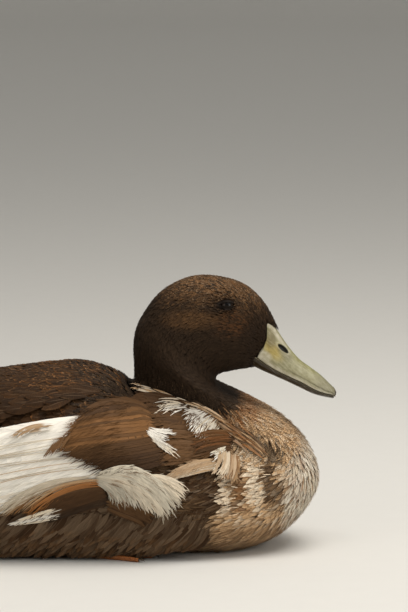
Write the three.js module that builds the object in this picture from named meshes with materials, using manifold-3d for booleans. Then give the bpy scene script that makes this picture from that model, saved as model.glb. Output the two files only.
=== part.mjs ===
// A domestic duck of the mallard kind, resting on its belly with the neck drawn in, as a still,
// life-size model. Millimetres: +X runs towards the bill, +Y to the bird's left and +Z up, with the
// origin on the belly's flat, which lies on the floor at z = 0. Both sides are alike.

import * as THREE from "three";
import { mergeVertices } from "three/addons/utils/BufferGeometryUtils.js";
import Module from "manifold-3d";

const wasm = await Module();
wasm.setup();

// ---------- driving dimensions ----------

const GAP = 0.3; // clear space between two pieces that touch
const FULL = 0.92; // roundness of the trunk's sections: 1 is an ellipse, less is boxier
const RING_POINTS = 26; // points round a section of the body
const RINGS_PER_STATION = 2;

// The plumage as planes across the body, from the tail coverts to the bill. Each plane holds a point
// on the back's line and one on the belly's line, the half width between them, and how far the
// section narrows towards the back, as an egg does.
const STATIONS = [
  { back: [-187, 84.5], belly: [-183, 69], half: 30, egg: 0.0 }, // end of the tail coverts
  { back: [-152, 101], belly: [-147, 40], half: 47, egg: 0.0 }, // rump
  { back: [-112, 116], belly: [-108, 11], half: 62, egg: 0.0 }, // vent
  { back: [-65, 127.5], belly: [-62, -3], half: 73, egg: 0.0 }, // hips
  { back: [-15, 135], belly: [-12, -3], half: 79, egg: 0.0 }, // middle of the back
  { back: [30, 139.5], belly: [45, -3], half: 80, egg: 0.02 }, // crest of the back
  { back: [57, 133.5], belly: [100, -3], half: 77, egg: 0.08 }, // shoulders
  { back: [69, 126.5], belly: [150, -2], half: 69, egg: 0.22 }, // foot of the neck, behind
  { back: [73, 125], belly: [188, 13], half: 56, egg: 0.42 }, // keel's front
  { back: [74.3, 127.5], belly: [212, 45], half: 45, egg: 0.52 }, // breast, at its fullest
  { back: [74.4, 134], belly: [206, 75], half: 40, egg: 0.46 }, // upper breast
  { back: [74, 143], belly: [184, 98], half: 36, egg: 0.32 }, // foot of the neck
  { back: [74, 153], belly: [155.5, 110.5], half: 31, egg: 0.16 }, // lower neck
  { back: [76, 165], belly: [138.3, 120], half: 27.5, egg: 0.05 }, // neck
  { back: [83.5, 179.5], belly: [135.8, 127.5], half: 26, egg: 0.02 }, // nape
  { back: [96.5, 194.3], belly: [139.5, 131], half: 25.5, egg: 0.05 }, // back of the head
  { back: [117, 204], belly: [145, 132.3], half: 25, egg: 0.08 }, // crown
  { back: [139, 204], belly: [151, 133.5], half: 23.5, egg: 0.1 }, // eyes
  { back: [158.6, 197.2], belly: [157, 134.3], half: 20, egg: 0.1 }, // brow
  { back: [172.7, 183.4], belly: [161.8, 134.8], half: 13.4, egg: 0.08 }, // lores
  { back: [182, 166.2], belly: [165.5, 135.2], half: 8.4, egg: 0.05 }, // feathers' edge at the bill
  { back: [187, 154], belly: [170, 135.5], half: 5.5, egg: 0.0 }, // within the bill
];
const NECK_FROM = 11; // station where the trunk ends and the neck begins
const HEAD_FROM = 14; // station where the neck ends and the head begins
const LAST = STATIONS.length - 1;

// The upper bill, in planes from its root in the head to its tip: a point on the ridge, one on the
// cutting edge and the half width.
const UPPER_BILL = [
  { back: [169, 173], belly: [158, 148.5], half: 9.5 },
  { back: [177.5, 169.5], belly: [164.3, 145.9], half: 11 },
  { back: [183.3, 161], belly: [171.3, 140.5], half: 11.4 },
  { back: [190.5, 150.5], belly: [180.2, 134.8], half: 11.4 },
  { back: [198.5, 141.2], belly: [190.2, 129.9], half: 11.7 },
  { back: [206.5, 135.1], belly: [200.2, 125.4], half: 12.5 },
  { back: [214.5, 129], belly: [209.7, 120.2], half: 13 },
  { back: [220.5, 123.2], belly: [217.2, 117.3], half: 12 },
  { back: [224.3, 119.4], belly: [222.5, 115.7], half: 8.6 },
  { back: [226, 116.2], belly: [225.4, 112.9], half: 3.4 },
];
const NAIL_FROM = 7.9; // place along the upper bill where the nail begins
const NAIL_HALF = 4.6;

// The lower bill: a point on its flat top, one on its keel and the half width.
const LOWER_BILL = [
  { back: [157, 145.2], belly: [156.5, 138.5], half: 7.5 },
  { back: [164.8, 144.4], belly: [164, 136], half: 10.2 },
  { back: [171.5, 139.6], belly: [170.5, 132.9], half: 10.6 },
  { back: [180.4, 134], belly: [177.5, 129.9], half: 10.5 },
  { back: [190.4, 129.1], belly: [188, 125.2], half: 10.7 },
  { back: [200.3, 124.5], belly: [198.5, 120.2], half: 11.4 },
  { back: [209.7, 119.3], belly: [208.5, 115.6], half: 11.8 },
  { back: [217.1, 116.5], belly: [216.4, 113.5], half: 10.6 },
  { back: [221.9, 115], belly: [221.4, 112.4], half: 7.2 },
];

const EYE = { x: 144.5, z: 185.3, radius: 5.4, depth: 3.9 }; // depth of its centre in the plumage

const SIDES = { right: -1, left: 1 };

// The scapulars reach along the stations from front to rear, and round the body from the inner angle
// to the lower edge's angles, front to rear, in degrees from the back's line.
const SCAPULARS = { front: 7.25, rear: 1.75, inner: 7, edge: [30, 44, 54, 59, 63, 64, 61, 54] };

// Upper and lower outlines on the bird's side, from the front to the rear, as x and z.
const WING = [
  [[131, 84], [108, 93], [75, 102], [37, 111], [-26, 112], [-74, 104], [-120, 88]],
  [[135, 62], [113, 44], [66, 30], [15, 25], [-24, 26], [-68, 40], [-110, 68]],
];
const PRIMARIES = [
  [[-18, 72], [-60, 79], [-100, 80], [-140, 75], [-175, 66]],
  [[-18, 30], [-50, 29], [-92, 38], [-136, 52], [-175, 63]],
];

// The tail's fan, whose halves spread by so many degrees. Its outer feathers are shorter by graded,
// and it falls to the sides by roof times the way out.
const TAIL = { root: [-150, 76], reach: 76, spread: 34, rise: 3, feathers: 7, graded: 14, roof: 0.16 };

// Each toe's direction in degrees outwards from straight ahead, and its length with the claw.
const FOOT = { x: 34, y: 45, sole: 1.2, toes: [[-9, 46], [9, 60], [27, 55]], web: 0.9, webThick: 1.3 };
const SHANK = { x: -12, y: 46, height: 5.4, radius: 4.2 };
const THIGH = { top: [4, 50, 32], radius: 6.5 };

// ---------- curves ----------

const lerp = (a, b, t) => a + (b - a) * t;
const clamp = (v, low, high) => Math.min(high, Math.max(low, v));
const degrees = (v) => (v * Math.PI) / 180;
const smooth = (low, high, v) => THREE.MathUtils.smoothstep(v, low, high);

// A Catmull-Rom curve through the values, at place t from 0 to their number less one. Past either
// end it goes on as the last step does.
function through(values, t) {
  const i = clamp(Math.floor(t), 0, values.length - 2);
  const f = t - i;
  const p1 = values[i];
  const p2 = values[i + 1];
  const p0 = i > 0 ? values[i - 1] : 2 * p1 - p2;
  const p3 = i + 2 < values.length ? values[i + 2] : 2 * p2 - p1;
  const cubic = 3 * (p1 - p2) + p3 - p0;
  const square = 2 * p0 - 5 * p1 + 4 * p2 - p3;
  return 0.5 * (((cubic * f + square) * f + p2 - p0) * f + 2 * p1);
}

// A plane of a list of stations, at place u along it.
function planeAt(stations, u) {
  const of = (pick) => through(stations.map(pick), u);
  return {
    back: [of((s) => s.back[0]), of((s) => s.back[1])],
    belly: [of((s) => s.belly[0]), of((s) => s.belly[1])],
    half: of((s) => s.half),
    egg: of((s) => s.egg || 0),
  };
}

// A point of an outline, at place t from 0 to 1.
function outlineAt(points, t) {
  const place = t * (points.length - 1);
  return [0, 1].map((k) => through(points.map((point) => point[k]), place));
}

const bent = (v, power) => Math.sign(v) * Math.abs(v) ** power;

// The half width of the section at an angle from the back's line.
function reach(plane, angle) {
  return plane.half * Math.sin(angle) ** FULL * (1 - plane.egg * Math.cos(angle));
}

// A point of the plumage: u is the place along the stations, angle runs from 0 at the back to pi at
// the belly, and side is -1 or 1.
function plumage(u, angle, side) {
  const plane = planeAt(STATIONS, u);
  const along = (1 + bent(Math.cos(angle), FULL)) / 2;
  return new THREE.Vector3(
    lerp(plane.belly[0], plane.back[0], along),
    side * reach(plane, angle),
    Math.max(0, lerp(plane.belly[1], plane.back[1], along)),
  );
}

// The outward direction of the plumage.
function plumageNormal(u, angle, side) {
  const step = 0.02;
  const here = plumage(u, angle, side);
  const ahead = plumage(u + step, angle, side).sub(here);
  const round = plumage(u, angle + step, side).sub(here);
  return round.cross(ahead).normalize().multiplyScalar(-side);
}

// The place and angle on the plumage whose point has this x and z. The planes follow one another
// along the body, so a bisection finds the one that the point lies in.
function locate(x, z) {
  let low = 0;
  let high = LAST;
  for (let n = 0; n < 40; n++) {
    const middle = (low + high) / 2;
    const { back, belly } = planeAt(STATIONS, middle);
    const before = (back[0] - belly[0]) * (z - belly[1]) - (back[1] - belly[1]) * (x - belly[0]) > 0;
    if (before) high = middle;
    else low = middle;
  }
  const plane = planeAt(STATIONS, low);
  const up = [plane.back[0] - plane.belly[0], plane.back[1] - plane.belly[1]];
  const share = ((x - plane.belly[0]) * up[0] + (z - plane.belly[1]) * up[1]) / (up[0] ** 2 + up[1] ** 2);
  const along = clamp(2 * share - 1, -1, 1);
  return { u: low, angle: Math.acos(bent(along, 1 / FULL)), plane };
}

// How far the plumage reaches to the side at x and z.
function sideReach(x, z) {
  const { angle, plane } = locate(x, z);
  return reach(plane, angle);
}

// ---------- solids ----------

// A closed geometry of rings, one after another, with flat ends. The rings run anticlockwise as seen
// from the last ring, and inside out ones are turned by the caller.
function loft(rings) {
  const count = rings[0].length;
  const points = rings.flat();
  const middle = (ring) => ring.reduce((sum, p) => sum.add(p), new THREE.Vector3()).divideScalar(count);
  points.push(middle(rings[0]), middle(rings.at(-1)));
  const index = [];
  for (let i = 0; i < count; i++) {
    const j = (i + 1) % count;
    for (let r = 0; r + 1 < rings.length; r++) {
      const [a, b, c, d] = [r * count + i, r * count + j, (r + 1) * count + i, (r + 1) * count + j];
      index.push(a, b, d, a, d, c);
    }
    const end = (rings.length - 1) * count;
    index.push(points.length - 2, j, i, points.length - 1, end + i, end + j);
  }
  return geometryOf(points, index);
}

// A closed sheet between two grids of points: outer(a, b) and inner(a, b), with a and b from 0 to 1.
function sheet(columns, rows, outer, inner) {
  const points = [];
  for (const face of [outer, inner]) {
    for (let i = 0; i <= columns; i++) {
      for (let j = 0; j <= rows; j++) points.push(face(i / columns, j / rows));
    }
  }
  const at = (face, i, j) => face * (columns + 1) * (rows + 1) + i * (rows + 1) + j;
  const index = [];
  const quad = (a, b, c, d) => index.push(a, b, c, a, c, d);
  for (let i = 0; i < columns; i++) {
    for (let j = 0; j < rows; j++) {
      quad(at(0, i, j), at(0, i + 1, j), at(0, i + 1, j + 1), at(0, i, j + 1));
      quad(at(1, i, j), at(1, i, j + 1), at(1, i + 1, j + 1), at(1, i + 1, j));
    }
    quad(at(0, i, 0), at(1, i, 0), at(1, i + 1, 0), at(0, i + 1, 0));
    quad(at(0, i, rows), at(0, i + 1, rows), at(1, i + 1, rows), at(1, i, rows));
  }
  for (let j = 0; j < rows; j++) {
    quad(at(0, 0, j), at(0, 0, j + 1), at(1, 0, j + 1), at(1, 0, j));
    quad(at(0, columns, j), at(1, columns, j), at(1, columns, j + 1), at(0, columns, j + 1));
  }
  return geometryOf(points, index);
}

function geometryOf(points, index) {
  const geometry = new THREE.BufferGeometry().setFromPoints(points);
  geometry.setIndex(index);
  return geometry;
}

// A geometry as a solid that can be cut and joined. One that is inside out is turned.
function solid(geometry) {
  const bare = geometry.index ? geometry.clone() : geometry;
  bare.deleteAttribute("normal");
  bare.deleteAttribute("uv");
  const merged = mergeVertices(bare, 1e-4);
  const vertProperties = new Float32Array(merged.attributes.position.array);
  const triVerts = new Uint32Array(merged.index.array);
  const made = new wasm.Manifold(new wasm.Mesh({ numProp: 3, vertProperties, triVerts }));
  if (made.volume() > 0) return made;
  for (let i = 0; i < triVerts.length; i += 3) {
    [triVerts[i + 1], triVerts[i + 2]] = [triVerts[i + 2], triVerts[i + 1]];
  }
  return new wasm.Manifold(new wasm.Mesh({ numProp: 3, vertProperties, triVerts }));
}

// The largest body that is left of a solid once the cutters are taken from it.
function cut(body, cutters) {
  const left = cutters.reduce((rest, cutter) => rest.subtract(cutter), body);
  return left.decompose().sort((a, b) => b.volume() - a.volume())[0];
}

const joined = (solids) => solids.reduce((sum, next) => sum.add(next));

function geometryFrom(body) {
  const mesh = body.getMesh();
  const geometry = new THREE.BufferGeometry();
  geometry.setAttribute("position", new THREE.BufferAttribute(new Float32Array(mesh.vertProperties), 3));
  geometry.setIndex(new THREE.BufferAttribute(new Uint32Array(mesh.triVerts), 1));
  geometry.computeVertexNormals();
  return geometry;
}

// ---------- trunk, neck and head ----------

// The plumage from one station to another. Each end lies half a gap inside its plane.
function plumageLength(from, to) {
  const rings = [];
  const steps = (to - from) * RINGS_PER_STATION;
  for (let n = 0; n <= steps; n++) {
    const u = lerp(from, to, n / steps);
    const { back, belly } = planeAt(STATIONS, u);
    const across = new THREE.Vector3(back[1] - belly[1], 0, belly[0] - back[0]).normalize();
    const inwards = ((n === 0) - (n === steps)) * (GAP / 2);
    const ring = [];
    for (let k = 0; k < RING_POINTS; k++) {
      const turn = (2 * Math.PI * k) / RING_POINTS;
      const point = plumage(u, Math.min(turn, 2 * Math.PI - turn), turn <= Math.PI ? 1 : -1);
      ring.push(point.addScaledVector(across, inwards));
    }
    rings.push(ring);
  }
  return solid(loft(rings));
}

// ---------- bill ----------

// A ring of the bill: an arch that stands on a flat, or for the lower bill hangs from it. grow makes
// it that much larger all round.
function billRing({ back, belly, half }, hangs, grow) {
  const [crest, edge] = hangs ? [belly, back] : [back, belly];
  const rise = Math.hypot(crest[0] - edge[0], crest[1] - edge[1]);
  const direction = [(crest[0] - edge[0]) / rise, (crest[1] - edge[1]) / rise];
  const ring = [];
  const arch = 10;
  const put = (across, height) =>
    ring.push(new THREE.Vector3(edge[0] + direction[0] * height, across, edge[1] + direction[1] * height));
  for (let k = 0; k <= arch; k++) {
    const angle = Math.PI * (k / arch - 0.5);
    const height = (rise + grow) * Math.cos(angle) ** 0.85;
    put((half + grow) * bent(Math.sin(angle), 0.85), height);
  }
  for (const share of [0.5, 0, -0.5]) put(share * (half + grow), -grow);
  return ring;
}

function billHalf(stations, hangs, steps, grow) {
  const rings = [];
  for (let n = 0; n <= steps; n++) {
    rings.push(billRing(planeAt(stations, ((stations.length - 1) * n) / steps), hangs, grow));
  }
  for (const point of rings[0]) point.x -= grow;
  return solid(loft(rings));
}

const upperBill = (grow) => billHalf(UPPER_BILL, false, 15, grow);
const lowerBill = (grow) => billHalf(LOWER_BILL, true, 11, grow);

// The nail is a small shield over the tip: what the upper bill holds of a narrow block.
function nailBlock(grow) {
  const [x, z] = planeAt(UPPER_BILL, NAIL_FROM).belly;
  const length = 30;
  const block = new THREE.BoxGeometry(length, 2 * (NAIL_HALF + grow), length);
  block.translate(x + length / 2 - grow, 0, z);
  return solid(block);
}

// ---------- eyes ----------

function eyeCentre(side) {
  const { u, angle } = locate(EYE.x, EYE.z);
  return plumage(u, angle, side).addScaledVector(plumageNormal(u, angle, side), -EYE.depth);
}

function ball(centre, radius) {
  const geometry = new THREE.SphereGeometry(radius, 12, 7);
  geometry.translate(centre.x, centre.y, centre.z);
  return solid(geometry);
}

// ---------- wings ----------

// A point on the bird's side at x and z, lifted off the plumage by so much.
const onSide = (x, z, side, lift) => new THREE.Vector3(x, side * (Math.max(4, sideReach(x, z)) + lift), z);

// A feathered sheet over the side, between two outlines, whose outer face lies lift(a, b) off the
// plumage and which is thick(a, b) thick. As a cutter it is larger by the gap all round.
function sideSheet([top, low], [columns, rows], side, lift, thick, cutter) {
  const grow = cutter ? 2 * GAP : 0;
  const place = (a, b) => {
    const [highX, highZ] = outlineAt(top, a);
    const [lowX, lowZ] = outlineAt(low, a);
    const size = Math.hypot(highX - lowX, highZ - lowZ);
    const share = lerp(-grow / size, 1 + grow / size, b);
    return [lerp(highX, lowX, share), lerp(highZ, lowZ, share)];
  };
  const lengthwise = (a) => lerp(-grow / 200, 1 + grow / 200, a);
  const outer = (a, b) => onSide(...place(lengthwise(a), b), side, lift(a, b) + (cutter ? 4 : 0));
  const inner = (a, b) => onSide(...place(lengthwise(a), b), side, lift(a, b) - thick(a, b) - grow);
  return solid(sheet(columns, rows, outer, inner));
}

// The folded wing stands off the body more along its lower edge and behind.
const wingLift = (a, b) =>
  1.5 + 3.5 * smooth(0, 0.3, b) + 3 * b * smooth(0.1, 0.5, a) + 3.5 * smooth(0.55, 1, a);
const wingThick = (a, b) => 1.2 + 7 * Math.sin(Math.PI * clamp(a, 0, 1)) ** 0.7 * (1 - 0.75 * b);
const wing = (side, cutter) => sideSheet(WING, [12, 5], side, wingLift, wingThick, cutter);

const primariesLift = (a, b) => lerp(2, 5, a) + 1.5 * b;
const primariesThick = (a) => lerp(3, 1.4, a);
const primaries = (side, cutter) =>
  sideSheet(PRIMARIES, [9, 3], side, primariesLift, primariesThick, cutter);

// The scapulars drape over the back and the wing's upper edge, from the neck to behind the hips.
function scapulars(side, cutter) {
  const grow = cutter ? 2 * GAP : 0;
  const point = (a, b, lift) => {
    const u = lerp(SCAPULARS.front + grow * 0.04, SCAPULARS.rear - grow * 0.04, a);
    const edge = through(SCAPULARS.edge, a * (SCAPULARS.edge.length - 1));
    const angle = degrees(lerp(SCAPULARS.inner - grow, edge + grow, b));
    return plumage(u, angle, side).addScaledVector(plumageNormal(u, angle, side), lift);
  };
  const lift = (a, b) => 3.2 * smooth(0.35, 1, b) * Math.sin(Math.PI * clamp(a, 0.1, 0.85));
  const thick = (a, b) => 1.2 + 2.8 * Math.sin(Math.PI * a) ** 0.6 * Math.sin(Math.PI * b) ** 0.6;
  const outer = (a, b) => point(a, b, lift(a, b) + (cutter ? 6 : 0));
  const inner = (a, b) => point(a, b, lift(a, b) - thick(a, b) - grow);
  return solid(sheet(12, 5, outer, inner));
}

// ---------- tail ----------

// A fan of pointed feathers, longest in the middle, that slopes down to both sides like a shallow
// roof.
function tail(grow = 0) {
  const place = (a, b, lift) => {
    const turn = degrees(lerp(-TAIL.spread - grow, TAIL.spread + grow, b));
    const notch = 5 * (1 - Math.abs(Math.sin(Math.PI * TAIL.feathers * b)));
    const length = TAIL.reach - TAIL.graded * (2 * b - 1) ** 2 - notch;
    const out = lerp(-grow, length + grow, a);
    const across = Math.sin(turn) * (16 + out);
    const height = TAIL.root[1] + (TAIL.rise * out) / TAIL.reach - TAIL.roof * Math.abs(across);
    return new THREE.Vector3(TAIL.root[0] - out * Math.cos(turn), across, height + lift);
  };
  const half = (a) => lerp(3, 0.65, a ** 0.6) + grow;
  return solid(sheet(3, 21, (a, b) => place(a, b, half(a)), (a, b) => place(a, b, -half(a))));
}

// ---------- legs and feet ----------

// A rod whose radius changes along it, with its underside held at the floor.
function limb(from, to, radiusAt, steps = 4, sides = 6) {
  const line = new THREE.Vector3().subVectors(to, from);
  const across = new THREE.Vector3(line.y, -line.x, 0).normalize();
  const up = new THREE.Vector3().crossVectors(across, line).normalize();
  if (up.z < 0) up.negate();
  const rings = [];
  for (let n = 0; n <= steps; n++) {
    const t = n / steps;
    const ring = [];
    for (let k = 0; k < sides; k++) {
      const turn = (2 * Math.PI * k) / sides;
      const point = new THREE.Vector3().lerpVectors(from, to, t);
      point.addScaledVector(across, Math.cos(turn) * radiusAt(t));
      point.addScaledVector(up, Math.sin(turn) * radiusAt(t));
      point.z = Math.max(0, point.z);
      ring.push(point);
    }
    rings.push(ring);
  }
  return solid(loft(rings));
}

// A toe thins towards its claw.
const toeRadius = (t) => lerp(3.2, 1.7, t) - 0.9 * smooth(0.8, 1, t);

// A point on a toe's line, at a share of its length.
function onToe(side, [turn, length], share = 1) {
  const x = FOOT.x + Math.cos(degrees(turn)) * length * share;
  const y = FOOT.y + Math.sin(degrees(turn)) * length * share;
  return new THREE.Vector3(x, side * y, FOOT.sole);
}

// The web between two toes: a thin sheet on the floor whose front edge is drawn in.
function web(side, one, other, grow) {
  const point = (a, b, height) => {
    const share = 0.02 + a * (FOOT.web - 0.3 * Math.sin(Math.PI * b));
    const { x, y } = onToe(side, one, share).lerp(onToe(side, other, share), b);
    return new THREE.Vector3(x + a * grow, y, height);
  };
  return solid(sheet(2, 4, (a, b) => point(a, b, FOOT.webThick + grow), (a, b) => point(a, b, 0)));
}

function foot(side, grow = 0) {
  const root = new THREE.Vector3(FOOT.x, side * FOOT.y, 2 * FOOT.sole);
  const toes = FOOT.toes.map((toe) => limb(root, onToe(side, toe), (t) => toeRadius(t) + grow));
  const webs = [0, 1].map((k) => web(side, FOOT.toes[k], FOOT.toes[k + 1], grow));
  const hind = new THREE.Vector3(FOOT.x - 9, side * (FOOT.y - 9), FOOT.sole);
  return joined([...toes, ...webs, limb(root, hind, (t) => lerp(2.2, 1.1, t) + grow)]);
}

// The shank lies on the floor from the heel to the toes, and the thigh goes up into the flank.
function leg(side, grow = 0) {
  const heel = new THREE.Vector3(SHANK.x, side * SHANK.y, SHANK.height);
  const toes = new THREE.Vector3(FOOT.x - 1, side * FOOT.y, 3 * FOOT.sole);
  const knee = new THREE.Vector3(THIGH.top[0], side * THIGH.top[1], THIGH.top[2]);
  const shank = limb(heel, toes, (t) => SHANK.radius + 1.2 * (1 - smooth(0, 0.3, t)) - 0.8 * t + grow);
  return joined([shank, limb(heel, knee, (t) => lerp(4.8, THIGH.radius, t) + grow)]);
}

// ---------- the bird ----------

const COLOURS = {
  dark_plumage: { color: 0x3a261b, roughness: 0.85 },
  fawn_plumage: { color: 0xb08a66, roughness: 0.85 },
  brown_plumage: { color: 0x6b4a32, roughness: 0.85 },
  white_plumage: { color: 0xe6ddcf, roughness: 0.8 },
  bill: { color: 0xa5a583, roughness: 0.45 },
  bill_dark: { color: 0x4a3c2c, roughness: 0.45 },
  eye: { color: 0x1b110b, roughness: 0.08 },
  foot: { color: 0xb5652a, roughness: 0.55 },
};
const materials = {};
for (const [name, look] of Object.entries(COLOURS)) {
  materials[name] = new THREE.MeshStandardMaterial({ ...look, metalness: 0, name });
}

const duck = new THREE.Group();

function add(name, body, look) {
  const mesh = new THREE.Mesh(geometryFrom(body), materials[look]);
  mesh.name = name;
  duck.add(mesh);
}

const trunkCutters = [tail(GAP)];
const headCutters = [upperBill(GAP), lowerBill(GAP)];

for (const [name, side] of Object.entries(SIDES)) {
  const scapularCutter = scapulars(side, true);
  const wingCutter = wing(side, true);
  add(`scapulars_${name}`, scapulars(side, false), "dark_plumage");
  add(`wing_${name}`, cut(wing(side, false), [scapularCutter]), "brown_plumage");
  add(`primaries_${name}`, cut(primaries(side, false), [wingCutter, scapularCutter]), "white_plumage");

  const centre = eyeCentre(side);
  add(`eye_${name}`, ball(centre, EYE.radius), "eye");
  headCutters.push(ball(centre, EYE.radius + GAP));

  add(`foot_${name}`, foot(side), "foot");
  add(`leg_${name}`, cut(leg(side), [foot(side, GAP)]), "foot");
  trunkCutters.push(scapularCutter, wingCutter, primaries(side, true), foot(side, GAP), leg(side, GAP));
}

add("trunk", cut(plumageLength(0, NECK_FROM), trunkCutters), "fawn_plumage");
add("neck", plumageLength(NECK_FROM, HEAD_FROM), "dark_plumage");
add("head", cut(plumageLength(HEAD_FROM, LAST), headCutters), "dark_plumage");

const upper = upperBill(0);
add("bill_nail", upper.intersect(nailBlock(0)), "bill_dark");
add("bill_upper", cut(upper, [nailBlock(GAP)]), "bill");
add("bill_lower", lowerBill(0), "bill_dark");

add("tail", tail(), "brown_plumage");

export default duck;
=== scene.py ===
import math

import bpy
import numpy as np
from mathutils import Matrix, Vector


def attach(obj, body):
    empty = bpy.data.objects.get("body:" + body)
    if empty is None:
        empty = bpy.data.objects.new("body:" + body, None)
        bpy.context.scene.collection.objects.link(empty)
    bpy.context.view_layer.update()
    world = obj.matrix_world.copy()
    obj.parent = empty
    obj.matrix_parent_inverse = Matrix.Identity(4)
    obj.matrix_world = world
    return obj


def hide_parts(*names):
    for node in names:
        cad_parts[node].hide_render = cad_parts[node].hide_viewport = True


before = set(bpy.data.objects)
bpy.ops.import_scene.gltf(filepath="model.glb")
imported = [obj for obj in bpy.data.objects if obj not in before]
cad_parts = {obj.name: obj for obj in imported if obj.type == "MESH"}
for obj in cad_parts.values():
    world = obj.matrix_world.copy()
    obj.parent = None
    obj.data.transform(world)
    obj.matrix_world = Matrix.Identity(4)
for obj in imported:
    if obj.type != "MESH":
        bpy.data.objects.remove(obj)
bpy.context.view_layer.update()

# A duck at rest with its legs folded under it. Shapes are worked out in millimetres, in the frame
# of the solids: +X to the bill, +Z up, and the floor at z 0. Signs of y and of turns: minus is the
# bird's right side, plus its left.
MM = 0.001
FULL = 0.92  # roundness of the body's sections, as the solids have it
RIGHT, LEFT = -1, 1
SIDE_NAMES = {RIGHT: "right", LEFT: "left"}
LOWEST = 0.1  # no feather comes nearer to the floor than this
HALVINGS = 26  # of a range, until its two ends agree
SPREADING = 0.7548776662466927, 0.5698402909980532  # steps whose remainders fill a square evenly
JITTER = 0.012  # how far a feather's place strays from its point of that sequence
MARGIN = 0.02  # kept free round the unwrap of the body

# Sections of the plumage from the tail to the bill. Each is a plane through a point on the back's
# line and one on the belly's: back x and z, belly x and z, the half width, and how egg shaped it
# is.
STATIONS = np.array([
    [-187, 84.5, -183, 69, 30, 0],  # tail coverts' end
    [-152, 101, -147, 40, 47, 0],  # rump
    [-112, 116, -108, 11, 62, 0],  # vent
    [-65, 127.5, -62, -3, 73, 0],  # hips
    [-15, 135, -12, -3, 79, 0],  # middle of the back
    [30, 139.5, 45, -3, 80, 0.02],  # highest back
    [57, 133.5, 100, -3, 77, 0.08],  # shoulders
    [69, 126.5, 150, -2, 69, 0.22],  # neck's foot, behind
    [73, 125, 188, 13, 56, 0.42],  # front of the keel
    [74.3, 127.5, 212, 45, 45, 0.52],  # fullest breast
    [74.4, 134, 206, 75, 40, 0.46],  # upper breast
    [74, 143, 184, 98, 36, 0.32],  # neck's foot
    [74, 153, 155.5, 110.5, 31, 0.16],  # lower neck
    [76, 165, 138.3, 120, 27.5, 0.05],  # neck
    [83.5, 179.5, 135.8, 127.5, 26, 0.02],  # nape
    [96.5, 194.3, 139.5, 131, 25.5, 0.05],  # back of the head
    [117, 204, 145, 132.3, 25, 0.08],  # crown
    [139, 204, 151, 133.5, 23.5, 0.1],  # eyes
    [158.6, 197.2, 157, 134.3, 20, 0.1],  # brow
    [172.7, 183.4, 161.8, 134.8, 13.4, 0.08],  # lores
    [182, 166.2, 165.5, 135.2, 8.4, 0.05],  # feathers' edge at the bill
    [187, 154, 170, 135.5, 5.5, 0],  # within the bill
])
LAST = len(STATIONS) - 1


# ---------- curves and places ----------


def lerp(a, b, t):
    """All a at t 0, all b at t 1, and a straight mix between them."""
    return a + (b - a) * t


def smooth(low, high, v):
    """0 below low, 1 above high and an S-shaped step between them."""
    t = np.clip((v - low) / (high - low), 0, 1)
    return t * t * (3 - 2 * t)


def bent(v, power):
    """A power that keeps the sign."""
    return np.sign(v) * np.abs(v) ** power


def unit(v):
    """Each vector divided by its length."""
    return v / np.maximum(np.linalg.norm(v, axis=-1, keepdims=True), 1e-9)


def dot(a, b):
    """The sum of the products along the last axis."""
    return (a * b).sum(-1)


def column(v):
    """An array with one more axis at its end, so that it multiplies points."""
    return np.asarray(v)[..., None]


def sided(name, side):
    """A name with the bird's side after it."""
    return f"{name}_{SIDE_NAMES[side]}"


def table_at(table, v):
    """A table's second column, read where its first one is v."""
    return np.interp(v, table[:, 0], table[:, 1])


def halved(low, high, beyond):
    """Both ends of a range at every place, after many halvings. beyond tells of a middle whether
    it lies past the wanted point."""
    for _ in range(HALVINGS):
        middle = (low + high) / 2
        past = beyond(middle)
        low, high = np.where(past, low, middle), np.where(past, middle, high)
    return low, high


def through(values, t):
    """A Catmull-Rom curve through the values at t = 0, 1, 2..., straight on at either end."""
    values = np.asarray(values, float)
    t = np.asarray(t, float)
    padded = np.concatenate([[2 * values[0] - values[1]], values, [2 * values[-1] - values[-2]]])
    i = np.clip(np.floor(t).astype(int), 0, len(values) - 2)
    f = column(t - i) if values.ndim > 1 else t - i
    p0, p1, p2, p3 = padded[i], padded[i + 1], padded[i + 2], padded[i + 3]
    cubic = 3 * (p1 - p2) + p3 - p0
    square = 2 * p0 - 5 * p1 + 4 * p2 - p3
    return 0.5 * (((cubic * f + square) * f + p2 - p0) * f + 2 * p1)


def plumage(u, turn):
    """A point of the plumage. u is the place along the stations. turn is 0 on the back, minus or
    plus pi on the belly: the height runs from belly to back as a rounded cosine of it, and the
    width is a rounded sine, narrower above where the section is egg shaped."""
    back_x, back_z, belly_x, belly_z, half, egg = np.moveaxis(through(STATIONS, u), -1, 0)
    along = (1 + bent(np.cos(turn), FULL)) / 2
    x = lerp(belly_x, back_x, along)
    z = np.maximum(lerp(belly_z, back_z, along), 0)
    y = half * bent(np.sin(turn), FULL) * (1 - egg * np.cos(turn))
    return np.stack([x, y, z], -1)


def slopes(u, turn):
    """The plumage's changes for a unit of u and of turn, and its outward direction."""
    step = 0.02
    by_u = (plumage(u + step, turn) - plumage(u - step, turn)) / (2 * step)
    by_turn = (plumage(u, turn + step) - plumage(u, turn - step)) / (2 * step)
    return by_u, by_turn, unit(np.cross(by_u, by_turn))


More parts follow.
